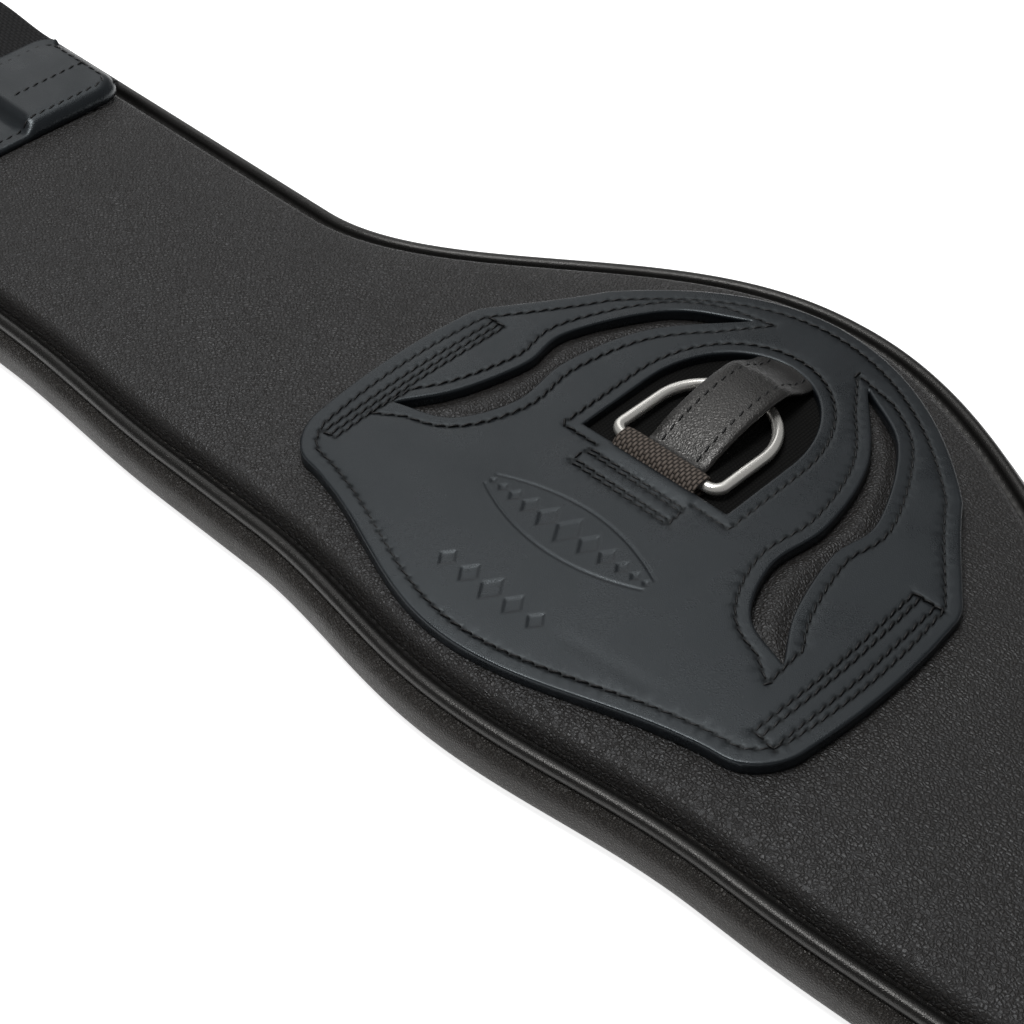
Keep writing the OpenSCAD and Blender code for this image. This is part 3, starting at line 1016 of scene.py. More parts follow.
@dataclass
class PatchOutline:
    """The centre patch's outline, window and curved cut-outs."""

    front_fall: float = 0.0088
    rear_drop: float = 16.4
    rear_run: float = 75.0
    front_corner: float = 10.0
    rear_corner: float = 13.0
    bow: float = 0.0026
    bow_y: float = -14.0
    bow_x: float = 60.0
    window_half: float = 23.0
    window_side: float = 23.2
    window_rise: float = 29.0

    def front_y(self, x: Array) -> Array:
        """The front edge, a parabola."""
        return PATCH_FRONT - self.front_fall * x * x

    def rear_y(self, x: Array) -> Array:
        """The rear edge, half a cosine wave."""
        return -(PATCH_REAR - self.rear_drop) - self.rear_drop * ease(x / self.rear_run)

    def bowed(self, half: Array) -> Array:
        """The half outline with its end bowed outwards about the line y = bow_y."""
        reach = np.maximum(0, (half[:, 0] - self.bow_x) / (PATCH_RIGHT - self.bow_x))
        return np.column_stack([half[:, 0] - self.bow * (half[:, 1] - self.bow_y) ** 2 * reach, half[:, 1]])

    def outer(self) -> Array:
        """The patch's outer loop, anticlockwise from its rear tip; the left half is a little shorter.

        Returns:
            The loop's points.
        """
        rear_x, front_x = PATCH_RIGHT - 14, PATCH_RIGHT - 10
        rear = np.array([PATCH_RIGHT, float(self.rear_y(np.array(PATCH_RIGHT))) + 1])
        fore = np.array([PATCH_RIGHT, float(self.front_y(np.array(PATCH_RIGHT)))])
        xs = np.linspace(0, rear_x, 40)[:-1]
        xf = np.linspace(front_x, 0, 40)[1:]
        ys = np.arange(-36.0, 1.0, 4.5)
        rear_start = np.array([rear_x, float(self.rear_y(np.array(rear_x)))])
        fore_end = np.array([front_x, float(self.front_y(np.array(front_x)))])
        half = np.concatenate(
            [
                np.stack([xs, self.rear_y(xs)], axis=1),
                fillet(rear_start, rear, fore, self.rear_corner),
                np.stack([np.full(len(ys), PATCH_RIGHT), ys], axis=1),
                fillet(rear, fore, fore_end, self.front_corner),
                np.stack([xf, self.front_y(xf)], axis=1),
            ]
        )
        half = self.bowed(half)
        mirror = half[1:-1][::-1] * np.array([-PATCH_LEFT / PATCH_RIGHT, 1])
        return np.concatenate([half, mirror])

    def window(self, out: float = 0.0) -> Array:
        """The window's loop, grown by a distance: a straight edge, straight sides and half an ellipse.

        Args:
            out: how far it is grown.

        Returns:
            The loop, anticlockwise.
        """
        a = np.linspace(0, np.pi, 40)
        rise = self.window_side + (self.window_rise + out) * np.sin(a)
        arch = np.stack([(self.window_half + out) * np.cos(a), rise], axis=1)
        foot = np.array([[-self.window_half - out, -out], [self.window_half + out, -out]])
        return np.concatenate([foot, arch])

    def cutout(self, side: int, out: float = 0.0) -> Array:
        """The curved cut-out beside the window, pointed at both ends.

        Args:
            side: 1 for the right one, -1 for the left.
            out: how far its sides are moved out; its points are then drawn out beyond its tips.

        Returns:
            The loop, anticlockwise.
        """
        top, foot = [19.0, 59.4], [62.0, -27.0]
        outer = spline(np.array([top, [37.0, 47.4], [49.7, 23.0], [48.9, 7.0], [54.0, -13.0], foot]))
        inner = spline(np.array([foot, [48.0, -21.0], [41.0, -5.0], [42.3, 14.0], [36.0, 37.5], top]))
        if out:
            tips = [np.array(top) + out * np.array([-1.5, 0.75]), np.array(foot) + out * np.array([0.35, -1.95])]
            sides = []
            for line in (outer, inner):
                tangent = unit(np.gradient(line, axis=0))
                sides.append((line + out * np.stack([-tangent[:, 1], tangent[:, 0]], axis=1))[4:-4])
            outer = np.concatenate([[tips[0]], sides[0], [tips[1]]])
            inner = np.concatenate([[tips[1]], sides[1], [tips[0]]])
        loop = np.concatenate([outer[:-1], inner[:-1]])[::-1]
        return loop if side > 0 else (loop * np.array([-1, 1]))[::-1]


def section_path(points: list[tuple[float, float]], steps: int = 8) -> Array:
    """A smooth path in the plane x = 0 through (y, z) points."""
    line = spline(np.array(points, float), steps)
    return np.column_stack([np.zeros(len(line)), line])


# ---------------------------------------------------------------- the padded body


@dataclass
class PaddedBody:
    """The stuffed lining roll, the piping and the padded outer panel, sewn together along the edge.

    Attributes:
        datum: the frame's measures.
        outline: the piping line.
        roll_out: how far the roll stands out beyond the piping.
        roll_h: height of the roll.
        foot_in: where the round edge of the roll meets the ground.
        ridge_z: height of the piping's ridge.
        valley_in: distance of the sewn valley inside the ridge.
        valley_z: height of the valley.
        crown_in: distance inside the ridge at which the crown is reached.
        pucker: depth of the puckers that the stitches pull.
        dome: how far the panel's middle stands over its shoulders.
    """

    datum: Datum
    outline: BodyOutline
    roll_out: float = 4.3
    roll_h: float = 12.4
    foot_in: float = 6.0
    ridge_z: float = 14.8
    valley_in: float = 4.3
    valley_z: float = 12.9
    crown_in: float = 7.8
    pucker: float = 0.3
    dome: float = 1.9

    def stitches(self) -> int:
        """How many stitches the edge seam has."""
        return round(curve_length(closed(self.outline.loop())) / STITCH_PITCH)

    def ring(self, profile: Array, per_stitch: int, pull: Optional[Array] = None) -> Array:
        """A profile of (inset, height) swept round the outline.

        Args:
            profile: the profile's points.
            per_stitch: samples for each stitch of the seam.
            pull: for each profile point, how much of the pucker it takes.

        Returns:
            Points, profile rows by samples by three. The pucker lowers them by a raised cosine that
            repeats with the stitches.
        """
        count = self.stitches() * per_stitch
        points, inward = self.outline.sampled(count)
        plane = points[None] + profile[:, :1, None] * inward[None]
        height = np.repeat(profile[:, 1:2], count, axis=1)
        if pull is not None:
            wave = (1 + np.cos(2 * np.pi * np.arange(count) / per_stitch)) / 2
            height = height - self.pucker * pull[:, None] * wave[None]
        return np.concatenate([plane, height[..., None]], axis=2)

    def roll_profile(self) -> Array:
        """The lining's section from its foot, round its edge, to where it goes in under the piping.

        Returns:
            (inset, height) points: an ellipse that is round at the edge and flatter inside.
        """
        middle, rise = self.foot_in, self.roll_h / 2
        a = np.radians(np.linspace(-90, 90, 27))
        reach = middle + self.roll_out
        edge_d = middle - reach * np.abs(np.cos(a)) ** 0.55
        edge_z = rise + rise * np.sign(np.sin(a)) * np.abs(np.sin(a)) ** 0.62
        inner = np.array([[self.foot_in + 3, self.roll_h - 0.1], [self.foot_in + 6, self.roll_h - 0.5]])
        foot = np.array([[self.foot_in + 6, 0.0], [self.foot_in + 3, 0.0]])
        return np.concatenate([foot, np.stack([edge_d, edge_z], axis=1), inner])

    def fill(self, rim: Array, step: float) -> Region:
        """The flat region inside a rim, with a lattice of points in it."""
        low, high = rim.min(axis=0), rim.max(axis=0)
        lattice = hex_points((low[0], low[1]), (high[0], high[1]), step)
        lattice = lattice[inside(lattice, rim)]
        lattice = lattice[LoopDistance(rim)(lattice) > step * 0.55]
        return Region.filled([rim], lattice)

    def lining(self) -> Surface:
        """The lining: its underside lies on the ground but for a shallow channel along its middle.

        Returns:
            A closed surface.
        """
        rows = self.ring(self.roll_profile(), 4)
        swell = 0.12 * np.sin(rows[..., 0] / 17) * np.sin(rows[..., 1] / 23 + rows[..., 0] / 41)
        rows[:-1, :, 2] += (swell * (rows[..., 2] > 8))[:-1]
        rim = rows[0, :, :2]
        base = self.fill(rim, 7.0)
        spine = bell((base.points[:, 1] - self.outline.neck_y) / 5) * smooth((300 - np.abs(base.points[:, 0])) / 20)
        away = smooth(LoopDistance(rim)(base.points) / 14)
        bottom = Surface(np.column_stack([base.points, 1.6 * spine * away]), [base.faces[:, ::-1]])
        lid = self.fill(rows[-1, :, :2], 12.0)
        top = Surface(np.column_stack([lid.points, np.full(len(lid.points), self.roll_h - 0.5)]), [lid.faces])
        return joined([grid_surface(rows, wrap=True), bottom, top])

    def piping_profile(self) -> tuple[Array, Array]:
        """The piping's section and how far each point of it is pulled by the stitches.

        The cord is a round tube; its flat flange runs from it down into the sewn valley.

        Returns:
            (inset, height) points round the section, and the pull at each.
        """
        r = 1.85
        z = self.ridge_z - r
        tube = arc((0.5, z), r, 250, 15, 22)
        flange = np.array(
            [[2.7, z - 0.1], [3.5, z - 0.35], [4.4, z - 0.5], [5.4, z - 0.6], [5.6, 11.6], [3.4, 11.2], [1.6, 11.0]]
        )
        points = np.concatenate([tube, flange])
        pull = np.concatenate([np.zeros(len(tube)), [0.1, 0.3, 0.7, 0.8, 0, 0, 0]])
        return points, pull

    def piping(self) -> Surface:
        """The piping all round: a closed ring.

        Returns:
            The surface.
        """
        profile, pull = self.piping_profile()
        return grid_surface(self.ring(profile, 5, pull), wrap=True, wrap_rows=True)

    def crown(self, away: Array) -> Array:
        """Height of the outer panel at a distance inside the ridge.

        A quarter sine climbs steeply from the seam, and a slow exponential domes the panel on from it.
        """
        t = np.clip((away - self.valley_in) / (self.crown_in - self.valley_in), 0, 1)
        climb = (self.datum.crown_z - self.dome - self.valley_z) * np.sin(t * np.pi / 2)
        return self.valley_z + climb + self.dome * (1 - np.exp(-np.maximum(0, away - self.valley_in) / 11))

    def panel_height(self, points: Array) -> Array:
        """Height of the panel under points of the plane."""
        return self.crown(LoopDistance(self.outline.loop())(points))

    def panel(self, patch: PatchOutline) -> Surface:
        """The outer panel: sewn down at the edge, round at its crown and puffed up in the cut-outs.

        Args:
            patch: the patch's outlines, for the places where the panel shows through it.

        Returns:
            A closed surface.
        """
        inset = np.array([7.0, 5.2, 4.1, 4.3, 4.5, 4.8, 5.2, 5.7, 6.2, 6.7, 7.2, 7.8, 8.9, 10.8, 13.0, 15.4])
        height = self.crown(inset)
        height[:3] = [11.8, 12.0, self.valley_z - 0.5]
        pull = np.array([0, 0, 0.8, 1.0, 0.95, 0.7, 0.35, 0.12, 0.04, 0, 0, 0, 0, 0, 0, 0])
        rows = self.ring(np.stack([inset, height], axis=1), 4, pull)
        rim = rows[-1, ::4, :2]
        rows[-1] = np.repeat(rows[-1, ::4], 4, axis=0)
        cuts = [patch.cutout(side) for side in (1, -1)]
        low, high = rim.min(axis=0), rim.max(axis=0)
        coarse = hex_points((low[0], low[1]), (high[0], high[1]), 6.5)
        fine = hex_points((-70.0, -32.0), (70.0, 64.0), 1.5)
        inner = np.concatenate([fine, coarse[(np.abs(coarse[:, 0]) > 74) | (coarse[:, 1] < -35) | (coarse[:, 1] > 67)]])
        inner = inner[inside(inner, rim)]
        inner = inner[LoopDistance(rim)(inner) > 2.5]
        flat = Region.filled([rim], inner)
        swell = np.zeros(len(flat.points))
        for cut in cuts:
            hit = np.flatnonzero(inside(flat.points, cut))
            depth = LoopDistance(cut)(flat.points[hit])
            swell[hit] = 1.9 * np.sin(np.clip(depth / 6.5, 0, 1) * np.pi / 2)
        height = self.panel_height(flat.points)
        height[flat.loops[0]] = rows[-1, ::4, 2]
        top = Surface(np.column_stack([flat.points, height + swell]), [flat.faces])
        under = self.fill(rows[0, ::4, :2], 12.0)
        rows[0] = np.repeat(rows[0, ::4], 4, axis=0)
        floor = np.full(len(under.points), rows[0, 0, 2])
        base = Surface(np.column_stack([under.points, floor]), [under.faces[:, ::-1]])
        return joined([grid_surface(rows, wrap=True), top, base])

    def seam(self) -> Surface:
        """The stitches of the edge seam, each between two puckers' deepest points."""
        count = self.stitches() * 2
        points, inward = self.outline.sampled(count)
        line = points + inward * (self.valley_in + 0.4)
        shift = np.roll(line, 1, axis=0)
        path = at_height(closed(shift), self.valley_z - 0.1)
        return Thread(length=2.5, radius=0.3, slant=5).row(path + 0.15 * UP, UP)

    def build(self, patch: PatchOutline) -> None:
        """Makes and dresses the body's pieces."""
        lining = piece("lining_roll", self.lining(), self.datum, Finish.LINING.material)
        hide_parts("lining_panel", "lining_foam")
        piping = piece("piping", self.piping(), self.datum, Finish.PIPING.material)
        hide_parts("edge_piping")
        panel = piece("outer_cover", self.panel(patch), self.datum, Finish.PANEL.material)
        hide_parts("outer_panel", "outer_foam")
        seam = piece("edge_stitches", self.seam(), self.datum, Finish.THREAD.material)
        for obj in (lining, piping, panel, seam):
            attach(obj, "girth")


# ---------------------------------------------------------------- the centre patch


@dataclass
class CentrePatch:
    """The stiff leather patch with a window, two curved cut-outs, tooling and its sewing.

    Attributes:
        datum: the frame's measures.
        outline: its outlines.
        panel_height: height of the panel under a point.
        bevel: width of the rounded edge.
        stitch_in: distance of the stitches inside an edge.
        groove: depth of the stitching furrow.
        hole: depth of the dimple at each stitch's hole.
        tool_depth: depth of the tooled ornament.
    """

    datum: Datum
    outline: PatchOutline
    panel_height: Callable[[Array], Array]
    bevel: float = 0.6
    stitch_in: float = 4.1
    groove: float = 0.16
    hole: float = 0.34
    tool_depth: float = 0.28

    def ornament(self, p: Array) -> Array:
        """The tooled ornament, as a depth from 0 to 1.

        A row of lozenges that shrink from the middle lies between two shallow arcs, over a short row
        of five. A lozenge is where |x| / a + |y| / b is less than 1.

        Args:
            p: points in the plane.

        Returns:
            How deep each point lies.
        """

        def lozenge(cx: float, cy: float, a: float, b: float) -> Array:
            return (1 - np.abs(p[:, 0] - cx) / a - np.abs(p[:, 1] - cy) / b) * min(a, b) * 0.7

        upper, lower = -30.0, -55.5
        steps = np.array([0.0, 6.6, 12.3, 17.1, 21.1, 24.4])
        marks = [
            lozenge(side * x, upper, 3.3 - 0.09 * x, 5.4 - 0.17 * x) for x in steps for side in ((1, -1) if x else (1,))
        ]
        rail = 8.3 * (1 - (p[:, 0] / 29) ** 2)
        marks.append(np.minimum(0.42 - np.abs(np.abs(p[:, 1] - upper) - rail), 25.5 - np.abs(p[:, 0])))
        marks += [lozenge(x, lower, 3.0 - 0.04 * abs(x), 4.4 - 0.09 * abs(x)) for x in (-14.0, -7.0, 0.0, 7.0, 14.0)]
        return smooth(np.max(marks, axis=0) / 0.9 + 0.3)

    def seams(self) -> list[Array]:
        """The lines that are sewn round the patch's edges, closed."""
        outer = offset_loop(self.outline.outer(), -self.stitch_in)
        cuts = [self.outline.cutout(side, self.stitch_in - 0.4) for side in (1, -1)]
        return [closed(line) for line in (outer, *cuts)]

    def extra_seams(self) -> list[Array]:
        """The window's row, the two bars under it, and the boxes at the patch's ends."""
        window = self.outline.window(3.6)
        start, end = np.array([[15.5, -3.6]]), np.array([[-15.5, -3.6]])
        rows = [spaced(np.concatenate([start, window[1:], window[:1], end]), 200)]
        for y in (-5.6, -6.9, -10.9, -12.3):
            rows.append(spaced(np.array([[-15.5, y], [14.5, y - 0.3]]), 14))
        rows.append(np.array([[-15.8, -6.9], [-16.4, -11.6]]))
        rows.append(np.array([[14.9, -6.9], [15.3, -12.0]]))
        for columns, top, foot in (((69.6, 71.6, 75.6), 10.4, -46.2), ((-62.9, -64.6, -66.6), 12.8, -46.0)):
            for x in columns:
                bow = np.array([[x, top], [x * 1.012, (top + foot) / 2], [x, foot]])
                rows.append(spaced(spline(bow), 40))
            rows.append(spaced(np.array([[columns[0], top], [columns[2] * 1.03, top]]), 8))
            rows.append(spaced(np.array([[columns[0], foot], [columns[2] * 1.01, foot - 1.0]]), 8))
        return rows

    def lattice(self, loops: list[Array], rows: list[Array]) -> Array:
        """Points to fill the patch with: close together at its seams and tooling, wide elsewhere.

        Args:
            loops: its edges.
            rows: its seams.

        Returns:
            The points.
        """
        low, high = (-PATCH_LEFT, -PATCH_REAR), (PATCH_RIGHT, PATCH_FRONT)
        near_edge = LineDistance([closed(loop) for loop in loops])
        near_seam = LineDistance(rows)

        def tooled(p: Array) -> Array:
            upper = (np.abs(p[:, 0]) < 28) & (np.abs(p[:, 1] + 30) < 10)
            return upper | ((np.abs(p[:, 0]) < 19) & (np.abs(p[:, 1] + 55.5) < 6))

        fine, coarse = hex_points(low, high, 0.62), hex_points(low, high, 1.9)
        finest = hex_points((-30.0, -62.0), (30.0, -19.0), 0.42)
        fine = np.concatenate([fine[(near_seam(fine) < 1.4) & ~tooled(fine)], finest[tooled(finest)]])
        coarse = coarse[(near_seam(coarse) > 2.2) & ~tooled(coarse)]
        cloud = np.concatenate([fine, coarse])
        held = inside(cloud, loops[0]) & ~np.any([inside(cloud, loop) for loop in loops[1:]], axis=0)
        cloud = cloud[held]
        return cloud[near_edge(cloud) > 1.15]

    def build(self) -> None:
        """Makes the patch and its stitches.

        The top is a plane that follows the panel down at its edges, less a quarter circle at each
        edge, a furrow along the seams, a dimple at each hole, the tooling and a crease.
        """
        top_z, low_z = self.datum.patch_top, self.datum.crown_z
        loops = [self.outline.outer(), self.outline.window(), self.outline.cutout(1), self.outline.cutout(-1)]
        loops = [spaced(closed(loop), max(60, round(curve_length(closed(loop)) / 0.8)))[:-1] for loop in loops]
        rings = [
            offset_loop(loop, sign * d, 0.8)
            for loop, sign in zip(loops, (-1, 1, 1, 1))
            for d in (0.15, 0.36, 0.62, 1.0)
        ]
        seams, extra = self.seams(), self.extra_seams()
        rows = seams + extra
        holes = np.concatenate([spaced(row, max(1, round(curve_length(row) / STITCH_PITCH)) + 1) for row in rows])
        a = np.arange(6) * np.pi / 3
        round_holes = (holes[:, None] + 0.42 * np.stack([np.cos(a), np.sin(a)], axis=1)).reshape(-1, 2)
        cloud = self.lattice(loops, rows)
        hole_near = LineDistance([np.stack([hole, hole]) for hole in holes])
        cloud = cloud[hole_near(cloud) > 0.75]
        flat = Region.filled(loops, np.concatenate([*rings, holes, round_holes, cloud]))
        p = flat.points
        gap = LineDistance([closed(loop) for loop in loops])(p)
        slope = np.clip(1 - gap / self.bevel, 0, 1)
        height = top_z - self.bevel * 0.8 * (1 - np.sqrt(1 - slope**2))
        height -= self.groove * bell(LineDistance(rows)(p) / 0.6)
        height -= self.hole * bell(hole_near(p) / 0.42)
        height -= self.tool_depth * self.ornament(p)
        height += 0.3 * np.sin(p[:, 0] / 17 + 0.6) * np.cos(p[:, 1] / 21) - 0.2
        height += 0.55 * bell((p[:, 1] + 2.3) / 1.7) * smooth((15.5 - np.abs(p[:, 0])) / 3)
        crease = np.abs(p[:, 1] + 53.5 - 0.11 * (p[:, 0] - 35)) / 1.3
        height -= 0.16 * bell(crease) * smooth((p[:, 0] - 18) / 6) * smooth((52 - p[:, 0]) / 10)
        sag = np.maximum(0, low_z - self.panel_height(p))
        height -= sag
        surface = flat.slab(height, low_z - sag - 0.25, 3)
        # Painted shade: the stitch holes and the seam furrows are darkened towards black and dulled through the 'shade'
        # attribute.
        shade = np.clip(1.1 * bell(hole_near(p) / 0.62) + 0.4 * bell(LineDistance(rows)(p) / 0.8), 0, 1)
        patch = piece("patch", surface, self.datum, Finish.PATCH.material, shade)
        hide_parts("centre_patch")
        sewn = []
        for kind, lines in ((Thread(), seams), (Thread(radius=0.31, length=2.9), extra)):
            for line in lines:
                drop = np.maximum(0, low_z - self.panel_height(line))
                sewn.append(kind.row(np.column_stack([line, top_z - drop - self.groove - 0.06]), UP))
        sewing = piece("patch_stitches", joined(sewn), self.datum, Finish.THREAD.material)
        for obj in (patch, sewing):
            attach(obj, "girth")


# ---------------------------------------------------------------- the ring in its window


@dataclass
class RingWindow:
    """The window's cloth, the web keeper, the steel ring and the strap over it.

    Attributes:
        datum: the frame's measures.
        outline: the patch's outlines.
        ring_w: the ring's width between wire centres.
        ring_len: its length between wire centres.
        wire: the wire's radius.
        corner: radius of the ring's corners.
        tilt: how far the ring leans down from its bar, in degrees.
        strap_w: width of the strap.
        keeper_w: width of the keeper.
    """

    datum: Datum
    outline: PatchOutline
    ring_w: float = 33.1
    ring_len: float = 33.7
    wire: float = 1.5
    corner: float = 3.3
    tilt: float = 1.45
    strap_w: float = 18.4
    keeper_w: float = 26.0

    def backing(self) -> bpy.types.Object:
        """The cloth behind the window, sagging a little in the middle of it."""
        rim = spaced(closed(self.outline.window(4.9)), 160)[:-1]
        low, high = rim.min(axis=0), rim.max(axis=0)
        lattice = hex_points((low[0], low[1]), (high[0], high[1]), 2.4)
        lattice = lattice[inside(lattice, rim)]
        lattice = lattice[LoopDistance(rim)(lattice) > 1.4]
        flat = Region.filled([rim], lattice)
        z = self.datum.crown_z
        surface = flat.slab(np.full(len(flat.points), z + 0.5), np.full(len(flat.points), z), 1)
        obj = piece("window_cloth", surface, self.datum, Finish.BACKING.material)
        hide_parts("window_backing")
        return obj

    def ring_path(self) -> Array:
        """The wire's centreline: a bar, two rounded corners, straight legs and half a circle."""
        half, c = self.ring_w / 2, self.corner
        leg = self.ring_len - half
        flat = np.concatenate(
            [
                [[-(half - c), 0.0]],
                arc((half - c, c), c, -90, 0, 12),
                arc((0, leg), half, 0, 180, 48),
                arc((-(half - c), c), c, 180, 270, 12)[:-1],
            ]
        )
        line = spaced(closed(flat), 240)[:-1]
        lean = math.radians(self.tilt)
        return np.column_stack(
            [line[:, 0], self.datum.bar_y + line[:, 1] * math.cos(lean), self.datum.bar_z - line[:, 1] * math.sin(lean)]
        )

    def ring(self) -> bpy.types.Object:
        """The D-ring: a circle swept round its path."""
        path = self.ring_path()
        tangent = unit(np.roll(path, -1, axis=0) - np.roll(path, 1, axis=0))
        side = unit(np.cross(tangent, UP))
        up = np.cross(side, tangent)
        a = np.arange(28)[None, :, None] * 2 * np.pi / 28
        rows = path[:, None] + self.wire * (np.cos(a) * side[:, None] + np.sin(a) * up[:, None])
        obj = piece(
            "ring", grid_surface(rows, wrap=True, wrap_rows=True), self.datum, Finish.STEEL.material
        )
        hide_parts("d_ring")
        return obj

    def keeper(self) -> bpy.types.Object:
        """The web keeper: one band that comes up from under the patch, goes round the bar and back."""
        y, z, r = self.datum.bar_y, self.datum.bar_z, self.wire + 0.6
        bend = arc((y, z), r, -90, 80, 16)
        path = np.concatenate(
            [
                [[-13.6, z - r], [-6, z - r], [0, z - r]],
                bend,
                [[y - 3.0, z + r - 0.35], [y - 5.6, z - 0.4], [-9, z - 1.0], [-13.6, z - 1.0]],
            ]
        )
        line = spaced(spline(path, 4), 70)
        rows = swept(
            np.column_stack([np.zeros(len(line)), line]),
            rounded_band(self.keeper_w / 2, 0.48, 9, 40),
            np.array([1.0, 0.0, 0.0]),
        )
        surface = grid_surface(rows, wrap=True, caps=True)
        obj = piece("keeper", surface, self.datum, Finish.KEEPER.material)
        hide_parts("ring_keeper")
        return obj

    def strap_line(self) -> Array:
        """The middle line of the strap's side view, from the keeper over the bow to under the patch."""
        top = self.datum.strap_top - 0.75
        low = self.datum.crown_z + 1.62
        start = self.datum.bar_y + 3.1
        bow = self.datum.bar_y + self.ring_len
        foot = self.outline.window_side + self.outline.window_rise
        points = [
            (start, low), (start + 2.5, low + 0.1), (start + 8.6, low + 2.6), (start + 16.5, top - 1.1),
            (bow - 7.2, top - 0.1), (bow - 2.5, top), (bow + 1.4, top - 0.35), (bow + 4.6, top - 1.9),
            (bow + 8.2, low + 1.75), (foot - 2.6, low + 0.45), (foot + 1.5, low), (foot + 6.6, low),
        ]
        return section_path(points, 7)

    def strap(self) -> tuple[bpy.types.Object, bpy.types.Object]:
        """The strap and its two rows of stitches."""
        line = spaced(self.strap_line(), 120)
        count = 44
        section = rounded_band(self.strap_w / 2, 1.1, 7, count)
        along = np.linspace(0, 1, len(line))[:, None]
        upper = section[:, 1] < 0
        seam_x = self.strap_w / 2 - 3.6
        crease = 0.22 * bell((np.abs(section[:, 0]) - seam_x) / 0.8) * upper
        swell = 0.35 * np.cos(section[:, 0] / (self.strap_w / 2) * np.pi / 2) ** 2 * upper
        thick = section[:, 1] + crease - swell * np.sin(along * np.pi)
        profile = np.stack([np.broadcast_to(section[:, 0], thick.shape), thick], axis=-1)
        side = np.array([1.0, 0.0, 0.0])
        rows = swept(line, profile, side)
        surface = grid_surface(rows, wrap=True, caps=True)
        strap = piece("strap", surface, self.datum, Finish.STRAP.material)
        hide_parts("ring_strap")
        tangent = unit(np.gradient(line, axis=0))
        normal = unit(np.cross(side, tangent))
        normal *= np.sign(normal[:, 2:3])
        inner = line[4:-16]
        rows = []
        for x in (-1, 1):
            seam = inner + side * x * seam_x + normal[4:-16] * 0.9
            rows.append(Thread(length=2.5, radius=0.3, lift=0.3).row(seam, normal[4:-16]))
        sewing = piece("strap_stitches", joined(rows), self.datum, Finish.THREAD.material)
        return strap, sewing

    def build(self) -> None:
        """Makes the window's pieces."""
        strap, sewing = self.strap()
        for obj in (self.backing(), self.keeper(), strap, sewing):
            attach(obj, "girth")
        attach(self.ring(), "d_ring")


# ---------------------------------------------------------------- the ends


